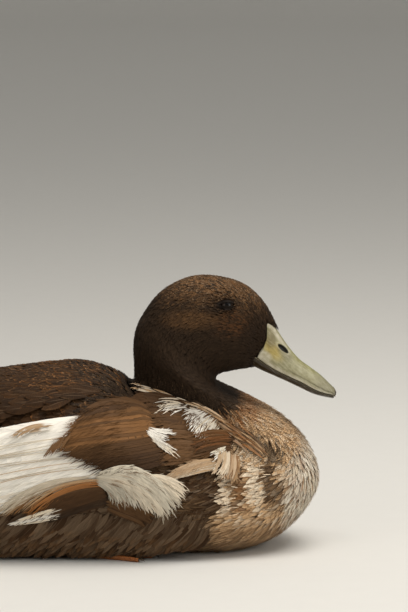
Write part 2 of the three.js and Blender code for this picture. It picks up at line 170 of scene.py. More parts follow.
def locate(x, z):
    """The place u and the turn of the plumage's point with this x and z, and the half width there.
    The planes follow one another along the body, so a bisection finds the one through the point."""
    x, z = np.broadcast_arrays(np.asarray(x, float), np.asarray(z, float))

    def beyond(u):
        s = through(STATIONS, u)
        run, rise = s[..., 0] - s[..., 2], s[..., 1] - s[..., 3]
        return run * (z - s[..., 3]) - rise * (x - s[..., 2]) > 0

    u, _ = halved(np.zeros(x.shape), np.full(x.shape, float(LAST)), beyond)
    s = through(STATIONS, u)
    up = s[..., :2] - s[..., 2:4]
    share = ((x - s[..., 2]) * up[..., 0] + (z - s[..., 3]) * up[..., 1]) / dot(up, up)
    turn = np.arccos(bent(np.clip(2 * share - 1, -1, 1), 1 / FULL))
    reach = s[..., 4] * np.sin(turn) ** FULL * (1 - s[..., 5] * np.cos(turn))
    return u, turn, reach


def on_side(x, z, side, lift):
    """A point over the bird's side at x and z, lifted off the plumage."""
    reach = np.maximum(locate(x, z)[2], 4)
    return np.stack([x, side * (reach + lift), z], -1)


def side_normal(x, z, side):
    """The outward direction of the side at x and z, from two short steps over it. Near the body's
    outline the steps outwards are held to a slope of three halves."""
    step, most = 2.0, 6
    by_x = on_side(x + step, z, side, 0) - on_side(x - step, z, side, 0)
    by_z = on_side(x, z + step, side, 0) - on_side(x, z - step, side, 0)
    by_x[..., 1] = np.clip(by_x[..., 1], -most, most)
    by_z[..., 1] = np.clip(by_z[..., 1], -most, most)
    return unit(np.cross(by_x, by_z)) * -side


def scatter(count, rng, between, weight):
    """Places spread evenly over the plumage between two stations. A fine grid of cells holds the
    area times the weight. The remainders of two steady steps, warped by the grid's running sums
    along u and then along the turn, give the places."""
    u = np.linspace(*between, 161)
    turn = np.linspace(-np.pi, np.pi, 181)
    grid_u, grid_turn = np.meshgrid(u, turn, indexing="ij")
    by_u, by_turn, _ = slopes(grid_u, grid_turn)
    cells = np.linalg.norm(np.cross(by_u, by_turn), axis=-1) * weight(grid_u, grid_turn)
    cells = np.maximum(cells, 1e-9)
    n = np.arange(count)
    first, second = ((0.5 + n * step) % 1 for step in SPREADING)
    sums = np.cumsum(cells.sum(1))
    at = np.interp(first, sums / sums[-1], np.arange(len(u)))
    rows = np.cumsum(cells, 1)[np.round(at).astype(int)]
    rows = rows / rows[:, -1:]
    below = np.clip((rows < column(second)).sum(1), 1, len(turn) - 1)
    low = np.take_along_axis(rows, column(below - 1), 1)[:, 0]
    high = np.take_along_axis(rows, column(below), 1)[:, 0]
    share = np.clip((second - low) / np.maximum(high - low, 1e-9), 0, 1)
    found_turn = turn[below - 1] + share * (turn[1] - turn[0])
    found_u = np.interp(at, np.arange(len(u)), u)
    jitter = rng.uniform(-1, 1, (2, count))
    return found_u + jitter[0] * JITTER, found_turn + jitter[1] * JITTER


# ---------- colours ----------


def screen(r, g, b):
    """A linear colour from the red, green and blue that a screen shows it with."""
    v = np.array([r, g, b]) / 255
    return np.where(v <= 0.04045, v / 12.92, ((v + 0.055) / 1.055) ** 2.4)


CHOCOLATE = screen(45, 33, 22)
UMBER = screen(68, 47, 28)
EARTH = screen(98, 70, 43)
SOFT_BROWN = screen(134, 95, 58)
CHESTNUT = screen(124, 80, 44)
RUST = screen(160, 106, 58)
FAWN = screen(194, 160, 121)
BUFF = screen(203, 176, 145)
CREAM = screen(220, 207, 185)
WHITE = screen(232, 228, 219)
SILVER = screen(208, 200, 182)
BLACKISH = screen(30, 22, 16)
WARMER = np.array([1.0, 0.93, 0.76])  # times a brown: the same, less blue


# ---------- mesh maker ----------


def new_object(name, points, loops, starts, material):
    """A piece from points in millimetres and its faces as one run of corners. It rides on the
    root and takes its finish from the slot."""
    mesh = bpy.data.meshes.new(name)
    mesh.vertices.add(len(points))
    mesh.vertices.foreach_set("co", (points * MM).astype(np.float32).ravel())
    mesh.loops.add(len(loops))
    mesh.loops.foreach_set("vertex_index", loops.astype(np.int32))
    mesh.polygons.add(len(starts))
    mesh.polygons.foreach_set("loop_start", starts.astype(np.int32))
    mesh.update(calc_edges=True)
    mesh.polygons.foreach_set("use_smooth", np.ones(len(starts), bool))
    mesh.materials.append(material)
    piece = bpy.data.objects.new(name, mesh)
    bpy.context.scene.collection.objects.link(piece)
    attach(piece, "root")
    return piece


def attribute(piece, name, kind, values):
    """A named value at every point of a piece: a number, a vector or a colour."""
    layer = piece.data.attributes.new(name, kind, "POINT")
    field = {"FLOAT": "value", "FLOAT_VECTOR": "vector", "FLOAT_COLOR": "color"}[kind]
    layer.data.foreach_set(field, np.ascontiguousarray(values, np.float32).ravel())


def with_alpha(rgb, alpha):
    """Colours and one more number each, in the four channels of a colour attribute."""
    alpha = np.broadcast_to(column(alpha), rgb.shape[:-1] + (1,))
    return np.concatenate([rgb, alpha], -1)


def bake_map(piece, values):
    """The unwrap that colours are baked on, from one pair of values for each point."""
    layer = piece.data.uv_layers.new(name="OFBake")
    corners = np.empty(len(piece.data.loops), np.int32)
    piece.data.loops.foreach_get("vertex_index", corners)
    layer.uv.foreach_set("vector", values[corners].astype(np.float32).ravel())


def grid_faces(rows, columns, looped=False):
    """Quads of a grid of points, row after row, as corners. Each row joins its last point to its
    first, and a looped grid its last row to its first one."""
    r, c = np.meshgrid(np.arange(rows if looped else rows - 1), np.arange(columns), indexing="ij")
    r, e = r * columns, (r + 1) % rows * columns
    d = (c + 1) % columns
    return np.stack([r + c, e + c, e + d, r + d], -1).reshape(-1, 4)


def enclosed(points, faces):
    """The volume inside closed faces, below zero where they face inwards: a sixth of the sum of
    a . (b x c) over the triangles that fan out from each face's first corner."""
    corners = points[faces]
    first, rest = corners[:, :1], corners[:, 1:]
    return dot(first, np.cross(rest[:, :-1], rest[:, 1:])).sum() / 6


def surface(name, points, material, looped=False):
    """A piece from a grid of points, row after row along it and round it. It is closed at both ends
    by a fan about the middle of the end's row, or loops back to its first row. Its faces are
    turned outwards."""
    rows, columns = points.shape[:2]
    flat = points.reshape(-1, 3)
    quads = grid_faces(rows, columns, looped)
    fans = np.zeros((0, 3), int)
    if not looped:
        ring = np.arange(columns)
        after = (ring + 1) % columns
        end = (rows - 1) * columns
        first = np.stack([np.full(columns, len(flat)), ring, after], -1)
        final = np.stack([end + ring, np.full(columns, len(flat) + 1), end + after], -1)
        flat = np.concatenate([flat, points[:1].mean(1), points[-1:].mean(1)])
        fans = np.concatenate([first, final])
    if enclosed(flat, quads) + enclosed(flat, fans) < 0:
        quads, fans = quads[:, ::-1], fans[:, ::-1]
    loops = np.concatenate([quads.ravel(), fans.ravel()])
    starts = np.concatenate([np.arange(len(quads)) * 4, quads.size + np.arange(len(fans)) * 3])
    return new_object(name, flat, loops, starts, material)


# ---------- feathers ----------


def vane_corners(rings, ribs):
    """The faces of one vane as corners: a root point, rings of ribs points over the top and one
    underneath, and a tip point."""
    around = ribs + 1  # points in a ring
    quads = grid_faces(rings, around) + 1
    ring = np.arange(around)
    after = (ring + 1) % around
    end = 1 + (rings - 1) * around
    tip = 1 + rings * around
    root_fan = np.stack([np.zeros(around, int), 1 + ring, 1 + after], -1)
    tip_fan = np.stack([end + ring, np.full(around, tip), end + after], -1)
    return quads, np.concatenate([root_fan, tip_fan])


def vanes(name, spine, out, half, thick, camber, looks, roots, material, ribs=3):
    """Many closed vanes as one piece. A vane's spine has a root point, one for each ring and a tip
    point. Across each ring lie ribs points, which sink towards the edges by the camber times the
    square of the way out, and one point lies underneath, which makes a thin lens. On the unwrap
    each vane has a small patch at its root's place."""
    count, places = spine.shape[:2]
    rings = places - 2
    ahead = unit(np.gradient(spine, axis=1))
    across = unit(np.cross(out, ahead))
    out = unit(np.cross(ahead, across))
    v = np.linspace(-1, 1, ribs)
    half = np.broadcast_to(half, (count, places))
    inner = slice(1, -1)
    offset = column(half[:, inner, None] * v)
    sink = column(camber * half[:, inner, None] * v**2)
    top = spine[:, inner, None] + across[:, inner, None] * offset - out[:, inner, None] * sink
    under = spine[:, inner] - out[:, inner] * column(np.broadcast_to(thick, (count, rings)))
    body = np.concatenate([top, under[:, :, None]], 2).reshape(count, -1, 3)
    points = np.concatenate([spine[:, :1], body, spine[:, -1:]], 1)
    points[..., 2] = np.maximum(points[..., 2], LOWEST)
    each = points.shape[1]

    quads, fans = vane_corners(rings, ribs)
    base = column(np.arange(count) * each)
    all_quads = (quads.ravel() + base).ravel()
    all_fans = (fans.ravel() + base).ravel()
    starts = np.concatenate([np.arange(count * len(quads)) * 4,
                             len(all_quads) + np.arange(count * len(fans)) * 3])
    loops = np.concatenate([all_quads, all_fans])
    piece = new_object(name, points.reshape(-1, 3), loops, starts, material)
    sharpen_rims(piece, each, ribs)

    length = np.linalg.norm(np.diff(spine, axis=1), axis=-1)
    way = np.concatenate([np.zeros((count, 1)), np.cumsum(length, 1)], 1)
    total = way[:, -1:]
    none, whole = np.zeros((count, 1)), np.ones((count, 1))
    along_rings = np.repeat(column(way[:, inner] / total), ribs + 1, 2).reshape(count, -1)
    along = np.concatenate([none, along_rings, whole], 1)
    sideways = np.concatenate([none, np.tile(np.append(v, 0), (count, rings)), none], 1)
    seed = np.broadcast_to(column(looks["seed"]), along.shape)
    attribute(piece, "place", "FLOAT_VECTOR", np.stack([sideways, along, seed], -1))
    size = np.stack([half.max(1), total[:, 0], looks["bars"]], -1)
    attribute(piece, "size", "FLOAT_VECTOR", np.repeat(size[:, None], each, 1))
    for layer, share in (("tint", "tip_from"), ("tip", "streaks"), ("rim", "rim_width")):
        values = with_alpha(looks[layer], looks[share])
        attribute(piece, layer, "FLOAT_COLOR", np.repeat(values[:, None], each, 1))
    from_root = np.stack([sideways * 0.5, along - 0.5], -1) * 0.003
    bake_map(piece, (np.asarray(roots)[:, None] + from_root).reshape(-1, 2))
    return piece


def sharpen_rims(piece, each, ribs):
    """Marks the edges along a vane's rim as sharp, so that its thin side doesn't round the shade
    of its face."""
    edges = np.empty(len(piece.data.edges) * 2, np.int32)
    piece.data.edges.foreach_get("vertices", edges)
    local = edges.reshape(-1, 2) % each
    ring_place = (local - 1) % (ribs + 1)
    end = (local == 0) | (local == each - 1)
    rim = end | (ring_place == 0) | (ring_place == ribs - 1)
    layer = piece.data.attributes.new("sharp_edge", "BOOLEAN", "EDGE")
    layer.data.foreach_set("value", rim.all(1) & ~end.all(1))


def plain_looks(rng, count, tint, tip=None, rim=None, rim_width=0.0, tip_from=2.0, bars=0.0,
                streaks=0.5):
    """What a vane's material reads: its colour, its tip's and its rim's colour, where the tip
    begins along it, how wide the rim is, how strong bars and streaks are, and a seed. No vane has a
    tip of another colour where that begins past its end."""
    full = lambda v, *more: np.broadcast_to(np.asarray(v, float), (count, *more)).copy()
    return {
        "tint": full(tint, 3),
        "tip": full(tint if tip is None else tip, 3),
        "rim": full(tint if rim is None else rim, 3),
        "tip_from": full(tip_from),
        "rim_width": full(rim_width),
        "bars": full(bars),
        "streaks": full(streaks),
        "seed": rng.uniform(0, 1, count),
    }


def bake_place(u, turn):
    """A place on the unwrap of the body: u along it and the turn round it, each from 0 to 1
    within the margins."""
    along, around = np.clip(u / LAST, 0, 1), (turn / (2 * np.pi) + 0.5) % 1
    return MARGIN + (1 - 2 * MARGIN) * np.stack([along, around], -1)


def vane_width(along, fullest, blunt):
    """The half width along a vane as a share of its greatest: it grows from the root as a power of
    a quarter sine, is fullest at one place, and closes to the tip as a quarter of an ellipse whose
    powers are blunt instead of 2."""
    rise = np.clip(along / fullest, 0, 1)
    fall = np.clip((along - fullest) / (1 - fullest), 0, 1)
    to_tip = (1 - fall**blunt) ** (1 / blunt)
    return np.where(along < fullest, np.sin(rise * np.pi / 2) ** 0.7, to_tip)


def lying(u, turn, length, heading, sunk, proud, places):
    """Spines that lie along the body. Each starts at u and turn and walks over the plumage towards
    the tail, heading off that way by an angle, while it rises from sunk to proud of the plumage.
    A step in space is turned into steps of u and turn by the two slopes' lengths and products.
    Past the tail's end a spine goes nearly level. A feather is shorter where the stations crowd."""
    count = len(u)
    stops = ring_stops(places)
    u, turn = u.copy(), turn.copy()
    spine, out, steps = (np.zeros((count, places, 3)) for _ in range(3))
    first_u, most_turn = 0.02, 0.4
    past = np.zeros((count, places), bool)
    length = np.minimum(length, 1.5 * np.linalg.norm(slopes(u, turn)[0], axis=-1))
    for k in range(places):
        by_u, by_turn, normal = slopes(u, turn)
        height = lerp(-sunk, proud, stops[k] ** 0.8)
        spine[:, k] = plumage(u, turn) + normal * column(height)
        out[:, k] = normal
        if k + 1 == places:
            break
        back = -unit(by_u)
        beside = unit(np.cross(normal, back))
        way = back * column(np.cos(heading)) + beside * column(np.sin(heading) * -np.sign(turn))
        step = way * column(length * (stops[k + 1] - stops[k]))
        steps[:, k] = step
        uu, ut, tt = dot(by_u, by_u), dot(by_u, by_turn), dot(by_turn, by_turn)
        det = np.maximum(uu * tt - ut**2, 1e-6)
        a, b = dot(step, by_u), dot(step, by_turn)
        ahead = u + (a * tt - b * ut) / det
        past[:, k + 1] = past[:, k] | (ahead < first_u)
        u = np.clip(ahead, first_u, LAST)
        turn = turn + np.clip((b * uu - a * ut) / det, -most_turn, most_turn)
    for k in range(1, places):
        gone = past[:, k]
        spine[gone, k] = spine[gone, k - 1] + steps[gone, k - 1] * np.array([1, 1, 0.15])
    return spine, out, stops


def ring_stops(places):
    """Where a vane's points lie along it: the root, the rings and the tip."""
    rings = places - 2
    inner = (np.arange(rings) + 0.6) / (rings + 0.15)
    return np.concatenate([[0], inner, [1]])


def coat(name, rng, u, turn, length, slim, looks, material, *, heading=0.0, sunk=2.0,
         proud=0.5, places=5, ribs=3, camber=0.25, thick=0.16, fullest=0.62, blunt=2.0):
    """A tract of feathers that lie along the body, each a little longer or shorter, turned and
    tilted by chance. slim is a feather's width as a share of its length."""
    count = len(u)
    length = length * rng.uniform(0.85, 1.15, count)
    heading = heading + rng.normal(0, 0.12, count)
    sunk = np.broadcast_to(sunk, (count,)) + rng.uniform(-0.1, 0.1, count)
    proud = np.broadcast_to(proud, (count,)) + rng.uniform(-0.25, 0.3, count)
    spine, out, stops = lying(u, turn, length, heading, sunk, proud, places)
    width = vane_width(stops, fullest, blunt)
    half = column(length * slim * 0.5) * width
    tilt = rng.normal(0, 0.08, count)
    out = unit(out + np.cross(out, unit(np.gradient(spine, axis=1))) * tilt[:, None, None])
    return vanes(name, spine, out, half, thick, camber, looks, bake_place(u, turn),
                 MATERIALS[material], ribs)


# ---------- markings ----------


def hump(v, middle, width):
    """A bell: 1 at the middle, falling as e to minus the square of the way in widths."""
    return np.exp(-(((v - middle) / width) ** 2))


def ellipse(p, x, z, long, high, lean=0.0):
    """How far points are from the middle of an ellipse on the side plane: 1 at its edge. lean
    turns it, in degrees."""
    c, s = math.cos(math.radians(lean)), math.sin(math.radians(lean))
    dx, dz = p[..., 0] - x, p[..., 2] - z
    return np.hypot((dx * c + dz * s) / long, (dz * c - dx * s) / high)


def patch(p, x, z, long, high, lean=0.0, soft=0.5):
    """1 within such an ellipse, and an S-shaped step to 0 across its edge."""
    return 1 - smooth(1 - soft / 2, 1 + soft / 2, ellipse(p, x, z, long, high, lean))


def over(base, colour, mask):
    """Colours laid over others: all of the colour where the mask is 1."""
    return lerp(base, colour, column(mask))


# Patches on the sides of the breast, from behind to the front: x, z, length, height, lean, colour
# and strength.
BREAST_PATCHES = [
    (141, 58, 4, 17, 4, UMBER, 0.95),
    (149.5, 52, 3.8, 16, 3, CREAM * 1.05, 0.8),
    (158, 82, 6, 8, -30, CREAM * 1.05, 0.75),
    (159.5, 56, 5, 19, 4, EARTH, 0.97),
    (160.5, 50, 3, 14, 4, RUST * 0.7, 0.5),
    (171.5, 60, 4.4, 20, 4, CREAM * 1.08, 0.95),
    (181.5, 60, 4.6, 21, 8, UMBER, 0.97),
    (191, 50, 3.6, 12, 6, UMBER, 0.85),
    (176, 88, 2.5, 18, 52, BLACKISH, 0.8),
    (166, 92, 14, 2.2, -38, BLACKISH, 0.75),
]


def head_markings(p, rng):
    """Chocolate head and neck, with a crown speckled fawn, a browner band behind the eye, a
    blackish patch round it and some chestnut on the cheek. The crown's top is lighter: partly its
    own fawn speckle, partly painted light from above."""
    count = len(p)
    tint = np.tile(CHOCOLATE, (count, 1)) * rng.uniform(0.75, 1.15, (count, 1))
    crown = smooth(24, 52, (p[:, 2] - 150) + 0.12 * (p[:, 0] - 120) + rng.normal(0, 5, count))
    crown = crown * smooth(84, 110, p[:, 0])
    tint = over(tint, EARTH, crown * rng.uniform(0, 1, count))
    tint = over(tint, BLACKISH, crown * smooth(0.5, 0.7, rng.uniform(0, 1, count)) * 0.85)
    band = patch(p, 122, 176, 19, 6, -6, 1.2)
    tint = over(tint, EARTH, band * rng.uniform(0.25, 0.65, count))
    tint = over(tint, BLACKISH, patch(p, 143, 185, 13, 5, 4, 1.0) * 0.8)
    cheek = patch(p, 151, 172, 10, 10, soft=1.4)
    tint = over(tint, CHESTNUT, cheek * rng.uniform(0, 0.65, count) ** 2)
    # Painted light: the crown's top is made lighter towards its outline, where light from above
    # falls. SOFT_BROWN goes over the tint and BUFF onto the rims, over the crown's own fawn
    # speckle.
    top = crown * smooth(176, 200, p[:, 2] + 0.35 * (p[:, 0] - 135))
    tint = over(tint, SOFT_BROWN, top * rng.uniform(0, 0.8, count) ** 2)
    rim = over(tint * 1.25, FAWN, crown * rng.uniform(0, 1, count) ** 3)
    rim = over(rim, BUFF, top * rng.uniform(0, 1, count))
    return plain_looks(rng, count, tint, rim=rim, rim_width=0.3 + 0.2 * crown, bars=0.25 * crown)


def breast_markings(p, rng):
    """Chestnut under the neck, fawn on the upper breast, pale in front, with columns of rusty
    brown, white and dark down the sides."""
    count = len(p)
    p = p + rng.normal(0, 1.0, p.shape)
    tint = np.tile(FAWN, (count, 1)) * rng.uniform(0.8, 1.15, (count, 1))
    tint = over(tint, CREAM, smooth(0.6, 0.95, rng.uniform(0, 1, count)) * 0.6)
    tint = over(tint, EARTH, smooth(0.8, 0.95, rng.uniform(0, 1, count)) * 0.6)
    q = p[:, 2] + 0.3 * (165 - p[:, 0])
    tint = over(tint, CHESTNUT, smooth(103, 115, q) * rng.uniform(0.4, 1, count))
    tint = over(tint, CHOCOLATE, smooth(116, 124, q))
    front = smooth(187, 199, p[:, 0]) * smooth(98, 82, p[:, 2])
    brown = smooth(0.6, 0.85, rng.uniform(0, 1, count)) * 0.75
    pale = over(np.tile(CREAM * 0.8, (count, 1)), SOFT_BROWN, brown)
    tint = over(tint, over(pale, WHITE, rng.uniform(0, 0.7, count) ** 2), front)
    for *shape, shade, strength in BREAST_PATCHES:
        tint = over(tint, shade, patch(p, *shape) * strength * rng.uniform(0.75, 1, count))
    flank = smooth(147, 140, p[:, 0]) * smooth(84, 72, p[:, 2])
    tint = over(tint, UMBER * 0.65 * WARMER, flank * rng.uniform(0.85, 1, count))
    low = smooth(34, 22, p[:, 2])
    tint = over(tint, over(np.tile(EARTH, (count, 1)), FAWN, rng.uniform(0, 0.7, count)), low * 0.8)
    rim = over(tint, FAWN, rng.uniform(0.05, 0.35, count) * (1 - flank))
    rusty = np.maximum(patch(p, 160, 55, 7, 19), flank * 0.6)
    rim = over(rim, RUST, rusty * rng.uniform(0.1, 0.7, count) ** 2)
    bars = 0.6 * smooth(64, 88, p[:, 2]) * smooth(204, 190, p[:, 0]) + 0.1
    return plain_looks(rng, count, tint, rim=rim, rim_width=0.35, bars=bars, streaks=0.8)


def belly_markings(p, rng):
    """Dark brown flanks and rump with rusty fringes, and a buff underside. The flanks' dark brown
    is partly their own colour, partly painted shade low on the body's side.
    """
    count = len(p)
    tint = np.tile(BUFF, (count, 1)) * rng.uniform(0.7, 1.0, (count, 1))
    # The flanks' dark brown: partly their own colour, partly painted shade on the low side of the
    # body.
    flank = smooth(4, 14, p[:, 2]) * smooth(-150, -90, p[:, 0] + rng.normal(0, 6, count))
    tint = over(tint, UMBER * 0.6 * WARMER, flank * rng.uniform(0.8, 1, count))
    rump = smooth(60, 70, p[:, 2]) * smooth(-90, -115, p[:, 0])
    tint = over(tint, UMBER * 0.7 * WARMER, rump * rng.uniform(0.85, 1, count))
    rim = over(tint, RUST, rng.uniform(0, 0.4, count) ** 2)
    return plain_looks(rng, count, tint, rim=rim, rim_width=0.3, bars=0.03, streaks=0.9)


def back_markings(p, rng):
    """Very dark brown with rusty and tan fringes, strongest at the shoulders."""
    count = len(p)
    tint = np.tile(UMBER, (count, 1)) * WARMER * rng.uniform(0.4, 0.8, (count, 1))
    forward = smooth(-25, 45, p[:, 0] + rng.normal(0, 14, count))
    forward = forward * smooth(105, 120, p[:, 2] + rng.normal(0, 4, count))
    rim = over(tint, EARTH * WARMER, rng.uniform(0, 0.45, count) + 0.2 * forward)
    rim = over(rim, RUST, forward * rng.uniform(0, 0.95, count) ** 1.5)
    rim = over(rim, FAWN, forward * rng.uniform(0, 0.75, count) ** 3)
    return plain_looks(rng, count, tint, rim=rim, rim_width=0.35 + 0.3 * forward,
                       bars=0.3 * forward, streaks=0.9)


# ---------- materials ----------


class Nodes:
    """Builds a material's nodes in a few words. Values may be numbers, colours or sockets."""

    def __init__(self, name):
        self.material = bpy.data.materials.new(name)
        self.material.use_nodes = True
        self.tree = self.material.node_tree
        self.shader = self.tree.nodes["Principled BSDF"]

    def put(self, socket, value):
        """Links a socket to the value, or sets it, with one number for all channels."""
        if isinstance(value, bpy.types.NodeSocket):
            self.tree.links.new(value, socket)
        elif isinstance(value, (int, float)):
            if hasattr(socket.default_value, "__len__"):
                value = (value,) * len(socket.default_value)
            socket.default_value = value
        else:
            value = tuple(float(v) for v in value)
            size = len(socket.default_value)
            socket.default_value = value[:size] + (1.0,) * (size - len(value))

    def set(self, **values):
        """Sets the shader's own sockets; an underscore stands for a space."""
        for key, value in values.items():
            self.put(self.shader.inputs[key.replace("_", " ")], value)

    def math(self, operation, *values):
        """One sum of Blender's Math node."""
        node = self.tree.nodes.new("ShaderNodeMath")
        node.operation = operation
        for socket, value in zip(node.inputs, values):
            self.put(socket, value)
        return node.outputs[0]

    def plus(self, a, b):
        """The sum of two values."""
        return self.math("ADD", a, b)

    def minus(self, a, b):
        """The first value less the second."""
        return self.math("SUBTRACT", a, b)

    def times(self, a, b):
        """The product of two values."""
        return self.math("MULTIPLY", a, b)

    def step(self, value, low, high, to_low=0.0, to_high=1.0):
        """An S-shaped step of a value from low to high."""
        node = self.tree.nodes.new("ShaderNodeMapRange")
        node.interpolation_type = "SMOOTHSTEP"
        for socket, v in zip(node.inputs, (value, low, high, to_low, to_high)):
            self.put(socket, v)
        return node.outputs[0]

    def mix(self, share, a, b, blend="MIX"):
        """Colour a with a share of b mixed in, or laid on as the blend says."""
        node = self.tree.nodes.new("ShaderNodeMix")
        node.data_type = "RGBA"
        node.blend_type = blend
        self.put(node.inputs["Factor"], share)
        self.put(node.inputs[6], a)
        self.put(node.inputs[7], b)
        return node.outputs[2]

    def attribute(self, name):
        """The values that the mesh holds under a name."""
        node = self.tree.nodes.new("ShaderNodeAttribute")
        node.attribute_name = name
        return node.outputs

    def split(self, vector):
        """A vector's three numbers."""
        node = self.tree.nodes.new("ShaderNodeSeparateXYZ")
        self.put(node.inputs[0], vector)
        return node.outputs

    def join(self, x, y, z):
        """A vector of three numbers."""
        node = self.tree.nodes.new("ShaderNodeCombineXYZ")
        for socket, v in zip(node.inputs, (x, y, z)):
            self.put(socket, v)
        return node.outputs[0]

    def grey(self, value):
        """A grey of one value."""
        return self.join(value, value, value)

    def noise(self, vector, scale, detail=2.0, rough=0.5):
        """Cloudy noise from 0 to 1."""
        node = self.tree.nodes.new("ShaderNodeTexNoise")
        self.put(node.inputs["Vector"], vector)
        node.inputs["Scale"].default_value = scale
        node.inputs["Detail"].default_value = detail
        node.inputs["Roughness"].default_value = rough
        return node.outputs[0]

    def here(self):
        """The place in the object's own coordinates, in metres."""
        return self.tree.nodes.new("ShaderNodeTexCoord").outputs["Object"]

    def bump(self, height, strength, distance):
        """A normal bent by a height; the distance is the height's scale in metres."""
        node = self.tree.nodes.new("ShaderNodeBump")
        self.put(node.inputs["Height"], height)
        node.inputs["Strength"].default_value = strength
        node.inputs["Distance"].default_value = distance
        return node.outputs[0]


def feather_material(name, *, lean, barb_scale, barb_depth, shaft, gloss):
    """Feathers. Barbs run from the shaft to the edge: the pattern's coordinate is the way along the
    vane less lean times the way across it, in millimetres. The rim and the tip have colours of
    their own, with edges that follow the barbs. Bars are a sine of the way along, and shaft is how
    much of the shaft shows."""
    n = Nodes(name)
    place, size = n.split(n.attribute("place")["Vector"]), n.split(n.attribute("size")["Vector"])
    across = n.math("ABSOLUTE", place[0])
    along_mm = n.times(place[1], size[1])
    across_mm = n.times(across, size[0])
    barb = n.minus(along_mm, n.times(across_mm, lean))
    which = n.plus(n.times(place[2], 91.7), n.times(n.math("SIGN", place[0]), 3.1))
    fine = n.noise(n.join(barb, which, n.times(across_mm, 0.12)), barb_scale, 3.0, 0.6)
    broad = n.noise(n.join(barb, which, n.times(across_mm, 0.05)), barb_scale * 0.22, 2.0, 0.5)

    tint, tip, rim = n.attribute("tint"), n.attribute("tip"), n.attribute("rim")
    ragged = n.times(n.minus(fine, 0.5), 0.5)
    towards_tip = n.plus(place[1], n.times(ragged, 0.35))
    tip_low = n.minus(tint["Alpha"], 0.07)
    tip_high = n.plus(tint["Alpha"], 0.07)
    base = n.mix(n.step(towards_tip, tip_low, tip_high), tint["Color"], tip["Color"])
    from_tip = n.minus(size[1], along_mm)
    tip_edge = n.minus(1.0, n.math("DIVIDE", from_tip, n.math("MAXIMUM", size[0], 0.1)))
    edge = n.plus(n.math("MAXIMUM", across, tip_edge), n.times(ragged, 0.6))
    rim_low = n.minus(1.0, rim["Alpha"])
    rim_high = n.plus(1.0, n.times(rim["Alpha"], 0.25))
    rim_share = n.times(n.step(edge, rim_low, rim_high), n.step(rim["Alpha"], 0.0, 0.05))
    rim_share = n.times(rim_share, n.step(place[1], 0.35, 0.75))
    base = n.mix(rim_share, base, rim["Color"])

    bar_noise = n.times(n.minus(broad, 0.5), 5.0)
    wave = n.math("SINE", n.plus(n.times(along_mm, 3.4), bar_noise))
    barred = n.times(n.step(wave, -0.3, 0.6), size[2])
    base = n.mix(barred, base, n.mix(1.0, base, (0.36, 0.33, 0.3), "MULTIPLY"))

    light = n.plus(n.times(n.minus(fine, 0.5), 0.9), n.times(n.minus(broad, 0.5), 0.9))
    light = n.plus(1.0, n.times(light, tip["Alpha"]))
    base = n.mix(1.0, base, n.grey(light), "MULTIPLY")
    if shaft > 0:
        on_shaft = n.step(across_mm, 0.45, 0.1)
        on_shaft = n.times(on_shaft, n.step(place[1], 0.95, 0.6))
        base = n.mix(n.times(on_shaft, shaft), base, n.mix(0.5, base, (0.36, 0.25, 0.16)))
    n.set(Base_Color=base, Roughness=gloss, Specular_IOR_Level=0.1)
    n.set(Sheen_Weight=0.03, Sheen_Roughness=0.45)
    height = n.plus(fine, n.times(broad, 0.6))
    n.set(Normal=n.bump(height, 0.55, barb_depth * MM))
    return n.material


def skin_material():
    """Skin under the coat, in the colours of the feathers over it, with fine goose flesh."""
    n = Nodes("plumage_skin")
    tint = n.attribute("tint")["Color"]
    spots = n.noise(n.here(), 420, 3.0)
    n.set(Base_Color=n.mix(1.0, tint, n.grey(n.step(spots, 0.3, 0.7, 0.6, 1.1)), "MULTIPLY"))
    n.set(Roughness=0.85, Specular_IOR_Level=0.1, Normal=n.bump(spots, 0.4, 0.3 * MM))
    return n.material


# ---------- the body ----------

EYE_X, EYE_Z = 144.5, 185.3
EYE_RADIUS = 5.4
EYE_DEPTH = 3.9  # of its middle in the plumage
# Where the bill's side lobe begins: z and x.
LOBE_EDGE = np.array([[144, 166.5], [146, 168], [150, 171], [157.5, 173.8], [165.75, 174],
                      [171.7, 173.8]])
# The coat's depth by the place along the stations.
COAT_DEPTHS = np.array([[0, 3], [1, 4], [3, 5], [8, 5], [10.5, 4], [13, 3], [15, 1.8], [19, 1.3],
                        [20, 1.5], [21, 1.5]])


def coat_depth(u, turn):
    """How deep the skin lies in the plumage: deep on the trunk, shallow on the head, and 2 where
    the bird lies on the floor."""
    return lerp(table_at(COAT_DEPTHS, u), 2.0, smooth(0.75, 0.95, np.abs(turn) / np.pi) * (u < 8))


def skin():
    """One closed skin over trunk, neck and head: the plumage's own surface, sunk by the coat's
    depth. It has the feathers' colours, darker."""
    u = np.linspace(0, LAST, 190)
    turn = np.linspace(-np.pi, np.pi, 96, endpoint=False)
    u, turn = np.meshgrid(u, turn, indexing="ij")
    inside = np.clip(u, 0.05, LAST - 0.05)
    points = plumage(inside, turn) - slopes(inside, turn)[2] * column(coat_depth(u, turn))
    points[..., 2] = np.maximum(points[..., 2], 1.2)
    piece = surface("plumage_skin", points, MATERIALS["skin"])
    rng = np.random.default_rng(3)
    flat = points.reshape(-1, 3)
    u, turn = u.ravel(), turn.ravel()
    tint = head_markings(flat, rng)["tint"]
    tint = over(tint, breast_markings(flat, rng)["tint"], smooth(11.2, 10.6, u))
    tint = over(tint, belly_markings(flat, rng)["tint"], smooth(7.5, 6, u))
    upper = smooth(7.5, 6.5, u) * smooth(1.7, 1.4, np.abs(turn))
    tint = over(tint, back_markings(flat, rng)["tint"], upper)
    tint = np.concatenate([tint, tint[:1], tint[-1:]]) * 0.7
    attribute(piece, "tint", "FLOAT_COLOR", with_alpha(tint, 1.0))
    bake_map(piece, np.concatenate([bake_place(u, turn), [[0, 0.5], [1, 0.5]]]))
    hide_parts("trunk", "neck", "head")


def straight_back(u, turn):
    """The heading that turns each feather straight to the tail: the angle from the plumage's own
    way back to minus x."""
    by_u, _, normal = slopes(u, turn)
    back = -unit(by_u)
    beside = unit(np.cross(normal, back)) * column(-np.sign(turn))
    return np.arctan2(-beside[:, 0], -back[:, 0])


